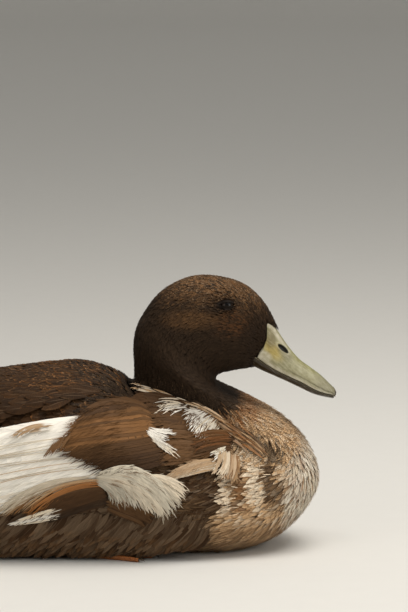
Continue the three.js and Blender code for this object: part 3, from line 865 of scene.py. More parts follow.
def head_coat():
    """Short feathers over head and neck, shortest round the bill and the eyes. Down the neck their
    looks pass into the breast's."""
    rng = np.random.default_rng(11)
    denser = lambda u, t: np.interp(u, [13, 16, 20], [0.6, 1, 1.7])
    u, turn = scatter(8000, rng, (13.4, 20.4), denser)
    p = plumage(u, turn)
    keep = ~bare(p)
    u, turn, p = u[keep], turn[keep], p[keep]
    length = np.interp(u, [13, 15, 18, 20.4], [8.5, 6.6, 5.0, 3.0])
    eye = np.hypot(p[:, 0] - EYE_X, p[:, 2] - EYE_Z)
    length = length * np.clip(eye / 14, 0.5, 1)
    looks = head_markings(p, rng)
    coat("head_coat", rng, u, turn, length, 0.27, looks, "down",
         sunk=coat_depth(u, turn) * 0.6, proud=0.15, camber=0.3, thick=0.12, blunt=1.4)
    u, turn = scatter(6000, rng, (10.3, 14.0), lambda u, t: np.interp(u, [10, 14], [0.9, 1.1]))
    p = plumage(u, turn)
    looks = head_markings(p, rng)
    breast = breast_markings(p, rng)
    low = smooth(126, 118, p[:, 2] + 0.3 * (165 - p[:, 0]) + rng.normal(0, 2, len(u)))
    for key in ("tint", "tip", "rim"):
        looks[key] = over(looks[key], breast[key], low)
    looks["bars"] = lerp(looks["bars"], breast["bars"], low)
    length = np.interp(u, [10, 11.5, 14], [11, 9.5, 8.5])
    coat("neck_coat", rng, u, turn, length, 0.28, looks, "down",
         sunk=coat_depth(u, turn) * 0.5, proud=0.3, camber=0.3, thick=0.12, blunt=1.4)


def bare(p):
    """Where the head has horn or an eye instead of feathers."""
    x, y, z = p[:, 0], np.abs(p[:, 1]), p[:, 2]
    lobe = (x > table_at(LOBE_EDGE, z)) & (z < 171.7 + (173.8 - x) * 0.95) & (z > 140)
    wedge = (y < 3.2 * smooth(184, 172, x)) & (z > 158)
    eye = np.hypot(x - EYE_X, (z - EYE_Z) * 1.5) < 6.0
    return (lobe & ~wedge) | eye


def breast_side(p, low, behind, front):
    """1 on the sides of the breast and 0 round them, with an S-shaped step at each edge: low is
    the lower edge's step in z, and behind and front are the others' in x."""
    x, z = p[:, 0], p[:, 2]
    return smooth(92, 72, z) * smooth(*low, z) * smooth(*front, x) * smooth(*behind, x)


def breast_coat():
    """Narrow silky feathers that run down the breast and back along its sides, with fine wisps
    that stand free over them."""
    rng = np.random.default_rng(12)
    denser = lambda u, t: np.interp(u, [5.4, 8, 11], [0.5, 1, 1.5])
    u, turn = scatter(6000, rng, (5.4, 11.4), denser)
    p = plumage(u, turn)
    length = np.interp(u, [5.6, 8, 10.5, 11.4], [20, 18, 15, 11])
    side = breast_side(p, (22, 34), (140, 146), (200, 190))
    coat("breast_coat", rng, u, turn, length * (1 - 0.3 * side), 0.3, breast_markings(p, rng),
         "silky", heading=0.5 * side * straight_back(u, turn), sunk=2.8, proud=0.6,
         places=6, camber=0.2, fullest=0.5, blunt=1.35)
    u, turn = scatter(3000, rng, (5.6, 11.2), lambda u, t: smooth(0.4, 0.8, np.abs(t)))
    p = plumage(u, turn)
    length = np.interp(u, [5.6, 11], [13, 8])
    side = breast_side(p, (16, 30), (138, 146), (202, 192))
    looks = breast_markings(p, rng)
    looks["tint"] = looks["tint"] * rng.uniform(0.75, 1.3, (len(u), 1))
    heading = 0.1 + side * (0.75 * straight_back(u, turn) - 0.1)
    coat("breast_wisps", rng, u, turn, length * (1 - 0.35 * side), 0.09, looks, "down",
         heading=heading, sunk=0.5, proud=1.3, camber=0.1, thick=0.12, fullest=0.4)


def body_coat():
    """Soft feathers over belly and flanks, and fringed ones over the back, which lie lower where
    the neck begins."""
    rng = np.random.default_rng(13)
    low = lambda u, t: smooth(1.5, 1.7, np.abs(t) - 0.35 * smooth(1.2, 0.2, u))
    u, turn = scatter(4200, rng, (0.5, 6.0), low)
    p = plumage(u, turn)
    coat("belly_coat", rng, u, turn, 19, 0.42, belly_markings(p, rng), "silky",
         sunk=1.4, proud=0.4, places=6, camber=0.2, thick=0.2, blunt=1.5)
    u, turn = scatter(2200, rng, (0.25, 7.6), lambda u, t: smooth(1.75, 1.5, np.abs(t)))
    p = plumage(u, turn)
    length = np.interp(u, [0, 3, 7.6], [17, 19, 10])
    coat("back_coat", rng, u, turn, length, 0.55, back_markings(p, rng), "contour",
         sunk=2.6, proud=lerp(0.6, 0.1, smooth(5, 7, u)), places=6, ribs=5, camber=0.3, thick=0.22)


# ---------- wings ----------


def spread(keys, count):
    """Rows of numbers on a smooth curve through the key rows."""
    return through(np.array(keys, float), np.linspace(0, len(keys) - 1, count))


def side_feathers(name, side, rng, keys, count, looks, *, material="flight", places=16,
                  ribs=5, fullest=0.45, blunt=1.8, loose=0.4):
    """Large feathers laid over the bird's side, from the first key to the last. A key holds the
    root's x and z, the tip's x and z, the bow upwards, the half width, and the lift off the plumage
    at root and tip, and loose is how far the first five stray by chance. Each spine is a line with
    a parabola's bow in the side plane. The first feathers lie over those that follow, and their
    faces are tilted up a little, which keeps every lower edge out."""
    f = spread(keys, count)
    f[:, :5] += rng.normal(0, loose, (count, 5)) * np.array([1.5, 0.8, 2.5, 1.2, 0.4])
    s = ring_stops(places)
    root, tip = f[:, None, 0:2], f[:, None, 2:4]
    run = unit(tip - root)
    up = np.stack([-run[..., 1], run[..., 0]], -1) * np.where(run[..., :1] < 0, -1, 1)
    flat = lerp(root, tip, column(s)) + up * column(f[:, 4:5] * 4 * s * (1 - s))
    order = column(np.linspace(1, 0, count)) * min(0.12 * count, 1.2)
    lift = lerp(f[:, 6:7], f[:, 7:8], s) + order + rng.uniform(-0.06, 0.06, (count, 1))
    x, z = flat[..., 0], flat[..., 1]
    spine = on_side(x, z, side, lift)
    out = unit(side_normal(x, z, side) + np.array([0, 0, 0.2]))
    half = f[:, 5:6] * vane_width(s, fullest, blunt) * (1 + rng.normal(0, 0.03, (count, places)))
    u, turn, _ = locate(f[:, 0], f[:, 1])
    roots = bake_place(u, turn * side)
    piece = vanes(sided(name, side), spine, out, half, 0.3, 0.07, looks, roots, MATERIALS[material],
                  ribs)
    return piece, {"spine": spine, "out": out, "half": half, "looks": looks, "roots": roots}


def loose_barbs(name, rng, group, count, between, length, tints=None, splay=0.3, width=0.2):
    """Single barbs that stand free of the vanes' edges. Each starts near an edge of a vane, at a
    random way along it, points to the tip and outwards by the splay, and curls off the vane as the
    square of the way. Without tints of its own it has its feather's colour."""
    places = group["spine"].shape[1]
    spine, out, half = group["spine"], group["out"], group["half"]
    pick = rng.integers(0, len(spine), count)
    at = rng.uniform(*between, count) * (places - 1)
    low = np.clip(np.floor(at).astype(int), 0, places - 2)
    share = column(at - low)
    here = lerp(spine[pick, low], spine[pick, low + 1], share)
    ahead = unit(spine[pick, low + 1] - spine[pick, low])
    normal = unit(out[pick, low])
    edge = np.where(rng.uniform(size=count) < 0.5, -1, 1)
    across = unit(np.cross(normal, ahead)) * column(edge)
    reach = lerp(half[pick, low], half[pick, low + 1], share[:, 0])
    start = here + across * column(reach * rng.uniform(0.55, 0.95, count)) + normal * 0.15
    way = unit(ahead + across * column(rng.uniform(0.3, 1.3, count) * splay))
    size = rng.uniform(*length, count)
    s = np.array([0, 0.3, 0.7, 1])
    curl = normal * column(rng.uniform(-0.05, 0.12, count))
    run = way[:, None] * s[:, None] + curl[:, None] * s[:, None] ** 2
    line = start[:, None] + run * size[:, None, None]
    around = np.repeat(normal[:, None], len(s), 1)
    own = group["looks"]["tint"][pick] * rng.uniform(0.8, 1.15, (count, 1))
    looks = plain_looks(rng, count, mixed(rng, count, *tints) if tints else own, streaks=0.1)
    return vanes(name, line, around, width * np.array([0, 1, 0.7, 0]), 0.15, 0.1, looks,
                 group["roots"][pick], MATERIALS["down"])


def mixed(rng, count, *colours):
    """One of the colours for each feather, a little lighter or darker."""
    pick = rng.integers(0, len(colours), count)
    return np.array(colours)[pick] * rng.uniform(0.88, 1.12, (count, 1))


def graded(rng, count, *colours):
    """Colours for feathers in a row: they blend along the list from the first feather to the last,
    strayed by chance, each a little lighter or darker."""
    colours, stray = np.array(colours), 0.4
    at = np.linspace(0, len(colours) - 1, count) + rng.normal(0, stray, count)
    at = np.clip(at, 0, len(colours) - 1)
    low = np.minimum(np.floor(at).astype(int), len(colours) - 2)
    blend = lerp(colours[low], colours[low + 1], column(at - low))
    return blend * rng.uniform(0.94, 1.06, (count, 1))


# Keys of the wing's feathers, from the uppermost of each group to the lowest: root x and z, tip x
# and z, bow, half width, and the lift at root and tip.
PRIMARY_KEYS = [
    [-14, 66, -166, 74, 4, 7, 1.5, 4], [-14, 56, -176, 68, 3, 7, 1.5, 4],
    [-16, 48, -172, 62, 2, 7, 1.5, 4], [-18, 40, -146, 48, 2, 7, 1.5, 3.5],
]
BASE_KEYS = [
    [150, 88, 92, 92, 3, 9, 1.5, 2.6], [146, 76, 90, 78, 3, 8, 1.5, 2.6],
]
PLUME_LINE_KEYS = [
    [50, 101, -90, 76, 4, 0.25, 4.6, 5.6], [50, 88, -98, 62, 4, 0.25, 5, 5.8],
    [48, 74, -68, 42, 6, 0.25, 5, 5.8],
]
GAP_KEYS = [
    [30, 99, 24, 88, 0, 0.4, 7.5, 7.8], [24, 96, 15, 84, 0, 0.4, 7, 7.4],
    [17, 93, 10, 82, 0, 0.35, 7, 7.3],
]
PLUME_KEYS = [
    [52, 109, -79, 81, 4.5, 4.5, 2.2, 3.6], [53, 103, -90, 77, 4.5, 5.2, 2.6, 4.2],
    [53, 94, -98, 68, 3.8, 5.2, 3, 4.6], [58, 86, -98, 57, 3.8, 5.2, 3, 4.6],
    [60, 78, -86, 47, 4.5, 5.2, 3, 4.6], [60, 72, -68, 36, 6, 4.5, 3, 4.8],
    [58, 66, -41, 32, 7.5, 3, 3, 4.8],
]
TAN_MARK_KEYS = [
    [16, 105, -11, 98, 1.5, 1, 6.2, 6.6], [13, 102, -10, 96, 1.5, 1, 6.2, 6.6],
]
RUSTY_KEYS = [
    [54, 65, -7, 41, 7.5, 0.38, 4.2, 5.8], [54, 63, -4, 38, 7.5, 0.41, 4, 5.5],
    [54, 60, 2, 37, 6.8, 0.45, 3.8, 5.2], [56, 57, 11, 39, 5.2, 0.45, 3.8, 5],
]
OLIVE_KEYS = [
    [43, 67, -25, 40, 6.8, 1.8, 3.8, 4.8], [41, 62, -16, 37, 6.8, 1.8, 3.6, 4.6],
]
UNDER_KEYS = [
    [53, 59, 4, 42, 4.5, 3, 3.5, 4.4], [59, 47, 11, 31, 3, 3, 3, 4],
]
CREAM_TIP_KEYS = [
    [23, 44, -8, 34, 0.8, 1.2, 4.2, 4.9], [23, 39, -16, 30, 0.8, 1.35, 4, 4.8],
    [20, 34, -11, 29, 0.8, 1.05, 3.8, 4.6],
]
SOFT_KEYS = [
    [86, 111, 41, 114, 6, 3.75, 5, 6.2], [88, 106, 31, 106, 6.8, 4.8, 5, 6.6],
    [91, 99, 25, 97, 6, 4.8, 5, 6.4], [92, 93, 23, 87, 5.2, 4.8, 4.9, 6.4],
    [94, 87, 31, 82, 3.8, 4.5, 4.8, 6.2], [97, 81, 43, 77, 2.2, 4.12, 4.6, 6],
    [98, 75, 55, 72, 0.8, 3.45, 4.4, 5.6],
]
SHOULDER_KEYS = [
    [113, 112, 70, 118, 2.2, 2.6, 3, 4.4], [119, 105, 80, 110, 2.2, 3, 3.2, 4.6],
    [125, 97, 86, 102, 2.2, 3, 3.4, 4.8], [130, 89, 94, 92, 2.2, 3, 3.4, 4.8],
    [130, 80, 97, 82, 2.2, 3, 3.4, 4.8], [127, 74, 100, 74, 1.5, 2.6, 3.2, 4.6],
]
CRESCENT_KEYS = [
    [87, 99, 104, 94, -0.4, 0.6, 5.6, 6], [86, 98, 100, 92, -0.6, 0.75, 5.6, 6],
    [86, 97, 97, 90, -0.6, 0.75, 5.6, 6], [88, 95, 97, 86, -0.4, 0.75, 5.6, 6],
    [89, 93, 101, 83, 0, 0.68, 5.6, 6], [92, 91, 106, 79, 0.4, 0.52, 5.6, 6],
]
WHITE_PATCH_KEYS = [
    [124, 110, 112, 106, 0.8, 0.52, 5, 5.4], [129, 108, 116, 98, 0.8, 0.6, 5, 5.5],
    [134, 104, 123, 90, 0.8, 0.6, 5, 5.5], [139, 99, 130, 87, 0.8, 0.52, 5, 5.4],
]
WHITE_SPOT_KEYS = [
    [110, 114, 94, 112, 0.8, 0.52, 4.2, 4.8], [115, 111, 98, 106, 0.8, 0.6, 4.3, 4.8],
]
REDDISH_KEYS = [
    [145, 94, 121, 91, 1.5, 1.2, 4.4, 5], [147, 87, 121, 84, 1.5, 1.35, 4.4, 5],
    [146, 79, 124, 76, 1.5, 1.27, 4.4, 5],
]
PALE_SPOT_KEYS = [
    [143, 84, 133, 80, 0, 1, 5.2, 5.8], [143, 79, 134, 74, 0, 1, 5.2, 5.8],
]
FRINGE_KEYS = [
    [140, 82, 134, 68, -1.5, 1.1, 5, 5.6], [146, 80, 142, 63, -1.5, 1.1, 4.6, 5.2],
    [153, 76, 150, 60, -1.5, 1.1, 4.2, 4.8],
]
BUFF_KEYS = [
    [140, 76, 108, 71, 0.8, 0.7, 4.4, 4.9], [138, 73, 102, 66, 0.8, 0.75, 4.5, 5],
    [134, 69, 90, 62, 0.8, 0.7, 4.6, 5.2],
]
PALE_FLANK_KEYS = [
    [80, 67, 112, 58, 3.8, 1.12, 5, 5.6], [77, 66, 110, 49, 4.5, 1.2, 5, 5.6],
    [74, 62, 103, 42, 4.5, 1.2, 5, 5.6],
]
FAN_KEYS = [
    [52, 72, 94, 62, 6.8, 1.2, 5.6, 6.2], [50, 70, 101, 49, 9, 1.42, 5.6, 6.3],
    [49, 68, 100, 37, 9, 1.42, 5.4, 6.2], [49, 67, 86, 40, 7.5, 1.42, 5.2, 6],
    [49, 65, 71, 47, 5.2, 1.42, 5, 5.8], [50, 62, 59, 48, 3, 1.27, 4.8, 5.4],
]
UNDER_FAN_KEYS = [
    [56, 50, 88, 38, 3, 2.5, 4, 5], [55, 42, 85, 28, 2.2, 2.5, 3.6, 4.6],
]
LINE_KEYS = [
    [175, 76, 160, 89, 0.8, 0.5, 0.4, 1.1], [161, 84, 142, 97, 1.1, 0.55, 0.5, 1.3],
    [148, 94, 126, 107, 1.1, 0.75, 0.8, 1.6], [131, 104, 109, 113, 1.1, 0.75, 0.8, 1.7],
    [116, 109, 94, 118, 1.1, 0.75, 0.8, 1.7], [101, 114, 80, 121, 1.1, 0.75, 0.5, 1.2],
    [91, 116, 73, 123, 0.8, 0.7, 0.3, 0.8],
]

# name, keys, count, colours, free barbs and their length, and how far each feather strays
WING_GROUPS = [
    ("olive_feathers", OLIVE_KEYS, 16, (CREAM * 0.7, FAWN * 0.6, SOFT_BROWN), 40, (4, 8), 0.8),
    ("under_feathers", UNDER_KEYS, 14, (UMBER * 1.1, UMBER, CHOCOLATE), 60, (4, 9), 0.8),
    ("cream_feathers", CREAM_TIP_KEYS, 20, (CREAM, WHITE * 0.95, CREAM), 50, (3, 6), 0.4),
    ("rusty_feathers", RUSTY_KEYS, 34, (FAWN * 0.8, RUST, RUST * 0.9, RUST * 0.6, UMBER * 1.2),
     60, (3, 7), 0.7),
    ("plumes", PLUME_KEYS, 64,
     (WHITE * 1.12, WHITE * 1.12, WHITE * 1.08, WHITE * 1.12, WHITE * 1.08, CREAM),
     480, (6, 14), 1.2),
    ("plume_lines", PLUME_LINE_KEYS, 11, (CREAM * 0.9, CREAM * 0.8, BUFF), 0, None, 2.6),
    ("tan_marks", TAN_MARK_KEYS, 12, (FAWN * 0.75, BUFF * 0.85), 40, (3, 6), 0.8),
    ("barb_gaps", GAP_KEYS, 26, (EARTH * 1.4, EARTH * 1.2), 0, None, 0.5),
    ("shoulder_base", BASE_KEYS, 5, (UMBER, UMBER), 0, None, 0.5),
    ("shoulder_coverts", SHOULDER_KEYS, 44,
     (UMBER, UMBER, EARTH * 0.8, EARTH * 0.9, EARTH, EARTH * 0.8), 260, (4, 8), 0.9),
    # The soft coverts' browns run from dark in the top row, through lighter browns, to darkest in
    # the lowest rows. This is partly the feathers' own tones, partly painted light and shade across
    # the rounded mass.
    ("soft_coverts", SOFT_KEYS, 34,
     (UMBER * 1.1, EARTH, SOFT_BROWN * 0.85, SOFT_BROWN * 0.78, EARTH * 0.75, UMBER, UMBER * 0.75,
      UMBER * 0.7), 700, (5, 12), 0.6),
    ("reddish_coverts", REDDISH_KEYS, 26, (EARTH, CHESTNUT * 0.8, UMBER, EARTH * 0.9),
     120, (3, 6), 0.9),
    ("crescent_coverts", CRESCENT_KEYS, 44, (WHITE * 0.95, WHITE * 0.9, CREAM), 200, (2, 5), 0.6),
    ("white_patch", WHITE_PATCH_KEYS, 70, (WHITE, WHITE, CREAM), 220, (2, 5), 0.7),
    ("white_spots", WHITE_SPOT_KEYS, 30, (CREAM, WHITE), 90, (2, 5), 1.2),
    ("pale_spot", PALE_SPOT_KEYS, 8, (SILVER, WHITE), 30, (2, 4), 0.4),
    ("cream_fringes", FRINGE_KEYS, 24, (FAWN * 0.8, CREAM, BUFF * 0.8, SOFT_BROWN, FAWN * 0.8),
     90, (3, 6), 1.0),
    ("buff_feathers", BUFF_KEYS, 56, (BUFF * 0.75, FAWN * 0.78, CREAM * 0.72), 240, (3, 7), 0.9),
    ("under_fan", UNDER_FAN_KEYS, 14, (EARTH * 0.8, UMBER), 60, (3, 6), 0.8),
    ("pale_flank", PALE_FLANK_KEYS, 40, (CREAM * 0.95, CREAM * 0.88, SILVER * 0.75),
     160, (3, 6), 0.7),
    ("flank_fan", FAN_KEYS, 84,
     (SILVER, SILVER * 0.85, CREAM * 0.85, SILVER * 0.75, SILVER * 0.6), 300, (3, 7), 0.6),
]

# These groups start in the colour of the feathers round them.
FADED = {"cream_feathers": UMBER, "white_patch": EARTH, "white_spots": UMBER, "pale_spot": EARTH,
         "tan_marks": WHITE}


def wing(side):
    """The folded wing, with the flank and shoulder feathers that lie over its front."""
    rng = np.random.default_rng(40 + side)
    looks = plain_looks(rng, 9, mixed(rng, 9, CREAM, WHITE), rim=EARTH, rim_width=0.12, tip=EARTH,
                        tip_from=0.8)
    piece, _ = side_feathers("wing_tip_feathers", side, rng, PRIMARY_KEYS, 9, looks,
                             fullest=0.35, places=20)
    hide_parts(sided("primaries", side))

    for name, keys, count, tints, barbs, size, loose in WING_GROUPS:
        looks = plain_looks(rng, count, graded(rng, count, *tints), streaks=0.7)
        if name in FADED:
            looks["tip"], looks["tip_from"] = looks["tint"], rng.uniform(0.02, 0.5, count) ** 1.5
            looks["tint"] = np.tile(FADED[name], (count, 1))
        piece, group = side_feathers(name, side, rng, keys, count, looks, material="silky",
                                     blunt=1.5, loose=loose)
        if name == "plumes":
            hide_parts(sided("wing", side))
        if barbs:
            loose_barbs(sided(f"{name}_barbs", side), rng, group, barbs, (0.35, 0.98), size)
        if name == "flank_fan":
            loose_barbs(sided("fan_gaps", side), rng, group, 90, (0.15, 0.8), (6, 13),
                        (EARTH, SOFT_BROWN), splay=0.12, width=0.12)
    shoulder_line(side, rng)


def shoulder_line(side, rng):
    """Fine streaks in dark and pale that stray over the shoulder's edge, browner in front."""
    count = 190
    rows = spread(LINE_KEYS, count)
    rows[:, [1, 3]] += rng.normal(0, 1, (count, 1)) * column(np.linspace(2.8, 0.7, count))
    tints = mixed(rng, count, CREAM, FAWN, CHOCOLATE, BLACKISH, BUFF, UMBER, CREAM)
    browns = mixed(rng, count, UMBER, EARTH, RUST * 0.7, FAWN * 0.9)
    tints = over(tints, browns, smooth(0.4, 0.1, np.linspace(0, 1, count)))
    looks = plain_looks(rng, count, tints, streaks=0.9)
    side_feathers("shoulder_line", side, rng, rows, count, looks, loose=0.7,
                  places=8, ribs=3)


def flank_skirt(side):
    """Flank feathers that hang to the floor over the folded legs. Each spine falls from a root on
    the flank nearly evenly, goes back evenly, and turns inwards as a power of the way along it. In
    front and behind the tips stay off the floor."""
    rng = np.random.default_rng(70 + side)
    count, places = 1180, 8
    x = rng.uniform(-90, 132, count)
    z = rng.uniform(14, 40, count) + smooth(-30, -90, x) * 14
    s = ring_stops(places)
    reach = np.maximum(locate(x, z)[2], 20)
    tip_z = z - rng.uniform(13, 22, count)
    lowest = rng.uniform(0.8, 3.5, count) + smooth(90, 132, x) * 6 + smooth(-30, -90, x) * 22
    tip_z = np.maximum(tip_z, lowest)
    fall = lerp(z[:, None], tip_z[:, None], s**0.9)
    back = x[:, None] - rng.uniform(12, 22, count)[:, None] * s
    y = side * (reach[:, None] + 0.4 - (0.5 + 0.08 * z[:, None]) * s**1.6)
    spine = np.stack([back, y, fall], -1)
    out = np.broadcast_to(unit(np.array([0, side, 0.15])), spine.shape).copy()
    half = 2.7 * rng.uniform(0.8, 1.2, (count, 1)) * vane_width(s, 0.5, 1.4)
    # The skirt takes the flanks' dark brown, with tips no lighter than EARTH. This is partly the
    # flanks' own colour, partly painted shade where the skirt hangs low under the body.
    looks = belly_markings(np.stack([x, y[:, 0], z], -1), rng)
    looks["tip"] = over(looks["tint"], EARTH, rng.uniform(0, 0.6, count))
    looks["tip_from"][:] = 0.75
    u, turn, _ = locate(x, z)
    vanes(sided("flank_skirt", side), spine, out, half, 0.2, 0.2, looks, bake_place(u, turn * side),
          MATERIALS["silky"])


# The lower edge of the scapulars on the bird's side: x and z from behind to the front.
SCAPULAR_EDGE = np.array([[-170, 76], [-110, 84], [-60, 89], [-26, 96], [-4, 106], [20, 112],
                          [39, 114], [56, 119], [75, 127], [100, 138]])


def scapulars(side):
    """Long fringed feathers that drape from the back over the wing's upper edge. The lowest ones
    stand out over the wing and have no fringes."""
    rng = np.random.default_rng(53 + side)

    def above_edge(u, turn):
        p = plumage(u, turn)
        edge = table_at(SCAPULAR_EDGE, p[..., 0]) + 7
        return ((turn * side > 0.05) & (p[..., 2] > edge)).astype(float)

    u, turn = scatter(1100, rng, (1.2, 7.3), above_edge)
    p = plumage(u, turn)
    length = np.interp(u, [2, 4, 7.3], [32, 28, 13])
    low = smooth(30, 4, p[:, 2] - table_at(SCAPULAR_EDGE, p[:, 0]))
    low = low * smooth(0.4, 0.95, np.abs(turn)) * smooth(80, 40, p[:, 0])
    low = low * smooth(-135, -95, p[:, 0])
    looks = back_markings(p, rng)
    looks["rim"] = over(looks["rim"], looks["tint"], 0.9 * low)
    piece = coat(sided("scapulars", side) + "_coat", rng, u, turn, length, 0.34, looks, "contour",
                 heading=0.14, sunk=lerp(1.2, -3.2, low), proud=0.3 + 6.2 * low,
                 places=8, ribs=5, thick=0.26, blunt=1.4)
    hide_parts(sided("scapulars", side))


# ---------- tail ----------

TAIL_X, TAIL_Z = -150, 76  # the fan's root
TAIL_REACH, TAIL_SPREAD = 76, 32  # its length, and its half angle in degrees


def tail():
    """A fan of rounded feathers over and under which the coverts lie. Each feather's spine leaves
    the root at its own angle, every second one lies a little higher, and the fan falls to both
    sides like a shallow roof."""
    rng = np.random.default_rng(60)
    count, places = 16, 18
    turn = np.radians(np.linspace(-TAIL_SPREAD, TAIL_SPREAD, count))[:, None]
    roof = 0.16
    s = ring_stops(places)
    reach = TAIL_REACH - 12 * (turn / np.radians(TAIL_SPREAD)) ** 2
    out_way = s * reach
    y = np.sin(turn) * (16 + out_way)
    lift = 0.48 * np.cos(np.arange(count) * np.pi)[:, None]
    z = TAIL_Z + 3 * out_way / TAIL_REACH - roof * np.abs(y) + lift
    spine = np.stack([TAIL_X - out_way * np.cos(turn), y, z], -1)
    out = unit(np.stack([0 * y, roof * np.sign(y), 1 + 0 * y], -1))
    half = 8 * vane_width(s, 0.6, 1.7) + 0 * y
    looks = plain_looks(rng, count, mixed(rng, count, UMBER, EARTH), rim=CREAM, rim_width=0.18)
    u, around, _ = locate(np.full(count, TAIL_X), np.full(count, TAIL_Z))
    roots = bake_place(u, around * np.sign(turn[:, 0]))
    piece = vanes("tail_feathers", spine, out, half, 0.3, 0.12, looks, roots, MATERIALS["flight"],
                  5)
    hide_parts("tail")

    for name, count, edge, length, markings in (
        ("upper_tail_coverts", 170, (1.5, 1.2), 34, back_markings),
        ("under_tail_coverts", 260, (1.7, 2.0), 30, belly_markings),
    ):
        u, around = scatter(count, rng, (0.05, 1.7), lambda u, t: smooth(*edge, np.abs(t)))
        looks = markings(plumage(u, around), rng)
        coat(name, rng, u, around, length, 0.45, looks, "contour", sunk=1.5,
             proud=1.0, places=9, ribs=5, thick=0.3)


# ---------- bill and eyes ----------

# The upper bill from its base to its tip: crest x and z, flat's x and z, and half width.
UPPER_BILL = np.array([
    [169, 173, 158, 148.5, 9.5], [177.5, 169.5, 164.3, 145.9, 11],
    [183.3, 161, 171.3, 140.5, 11.4], [190.5, 150.5, 180.2, 134.8, 11.4],
    [198.5, 141.2, 190.2, 129.9, 11.7], [206.5, 135.1, 200.2, 125.4, 12.5],
    [214.5, 129, 209.7, 120.2, 13], [220.5, 123.2, 217.2, 117.3, 12],
    [224.3, 119.4, 222.5, 115.7, 8.6], [226, 116.2, 225.4, 112.9, 3.4],
])
# The lower bill: a point on its flat top, one on its keel and the half width.
LOWER_BILL = np.array([
    [157, 145.2, 156.5, 138.5, 7.5], [164.8, 144.4, 164, 136, 10.2],
    [171.5, 139.6, 170.5, 132.9, 10.6], [180.4, 134, 177.5, 129.9, 10.5],
    [190.4, 129.1, 188, 125.2, 10.7], [200.3, 124.5, 198.5, 120.2, 11.4],
    [209.7, 119.3, 208.5, 115.6, 11.8], [217.1, 116.5, 216.4, 113.3, 10.6],
    [224.4, 114.3, 224.0, 111.6, 5.6],
])
NOSTRIL = {"x": 186, "z": 150.3, "long": 5.0, "high": 1.7, "lean": -41}
GROOVE = 0.86  # how far across the upper bill it runs


def bill_arch(stations, t, a, hangs):
    """A point of a bill half: t is the place along it, a runs from -1 at the right edge over the
    crest to 1 at the left. Its height is a power of the cosine and its width one of the sine. The
    lower half hangs: its crest is the keel under its flat top."""
    s = through(stations, t)
    crest, edge = (s[..., 2:4], s[..., :2]) if hangs else (s[..., :2], s[..., 2:4])
    angle = a * np.pi / 2
    height = np.cos(angle) ** 0.85
    flat = edge + (crest - edge) * column(height)
    return np.stack([flat[..., 0], s[..., 4] * bent(np.sin(angle), 0.85), flat[..., 1]], -1)


def lobe_start(a):
    """Where the horn begins along the upper bill: the feathers reach furthest forward on the
    crest's line and least at the lobes, and run down from there to the gape. A bisection finds
    where each line of the bill crosses the feathers' edge."""

    def ahead(t):
        p = bill_arch(UPPER_BILL, t, a, False)
        return p[..., 0] > table_at(LOBE_EDGE, p[..., 2])

    _, start = halved(np.zeros(a.shape), np.full(a.shape, 3.0), ahead)
    return lerp(start, 2.0, smooth(0.3, 0.0, np.abs(a)))


def capped(values):
    """A surface's values, with the first and last again for the middles of its ends."""
    return np.concatenate([values, values[:1], values[-1:]])


def bill_half(name, stations, start, hangs, rows, colour_of):
    """A bill half as one closed surface: the arch outside, whose edge closes on the head's
    feathers behind, and a face inside that is hollow by a power of a sine."""
    a = np.linspace(-1, 1, 141)
    inner = np.linspace(1, -1, 25)[1:-1]
    s = np.linspace(0, 1, rows)[:, None]
    t = lerp(start(a), len(stations) - 1, s)
    outside = bill_arch(stations, t, a[None] + 0 * t, hangs)
    if not hangs:
        reach = locate(outside[..., 0], outside[..., 2])[2]
        close = smooth(190, 176, outside[..., 0]) * (np.abs(a) > 0.25)
        side_y = np.maximum(np.abs(outside[..., 1]), reach - 0.35)
        outside[..., 1] = lerp(outside[..., 1], np.sign(a) * side_y, close)
    normal = unit(np.cross(np.gradient(outside, axis=0), np.gradient(outside, axis=1)))
    sunk = bill_relief(outside, np.abs(a)[None] + 0 * t, t, hangs)
    outside = outside - normal * column(sunk)
    right, left = outside[:, :1], outside[:, -1:]
    share = (1 - inner) / 2
    inside = lerp(left, right, column(share[None] + 0 * t[:, :1]))
    hollow = 1.6 * np.sin(np.pi * share) ** 0.5 * smooth(0, 0.15, s) * smooth(1, 0.9, s)
    crest = len(a) // 2
    crest_way = unit(outside[:, crest:crest + 1] - (left + right) / 2)
    points = np.concatenate([outside, inside + crest_way * column(hollow)], 1)
    piece = surface(name, points, MATERIALS["horn"])
    across = np.concatenate([np.abs(a), np.ones(len(inner))])[None].repeat(rows, 0)
    along = np.concatenate([t, np.repeat(t[:, :1], len(inner), 1)], 1)
    tint = capped(colour_of(points.reshape(-1, 3), across.ravel(), along.ravel()))
    attribute(piece, "tint", "FLOAT_COLOR", with_alpha(tint, 0.0 if hangs else 1.0))
    places = np.meshgrid(np.linspace(0, 1, rows), np.linspace(0, 1, points.shape[1]), indexing="ij")
    uv = np.stack(places, -1).reshape(-1, 2)
    bake_map(piece, np.concatenate([uv, [[0, 0.5], [1, 0.5]]]))
    return piece


def bill_relief(p, a, t, hangs):
    """How far each point is sunk: the nostril, its raised ring, and the groove above the rim, or
    the one groove of the half that hangs."""
    if hangs:
        return 0.35 * hump(a, 0.8, 0.05)
    hole = ellipse(p, **NOSTRIL)
    sunk = 2.4 * smooth(1.0, 0.75, hole) - 0.35 * hump(hole, 1.25, 0.2)
    return sunk + 0.4 * hump(a, GROOVE, 0.035) * smooth(4.5, 6.5, t)


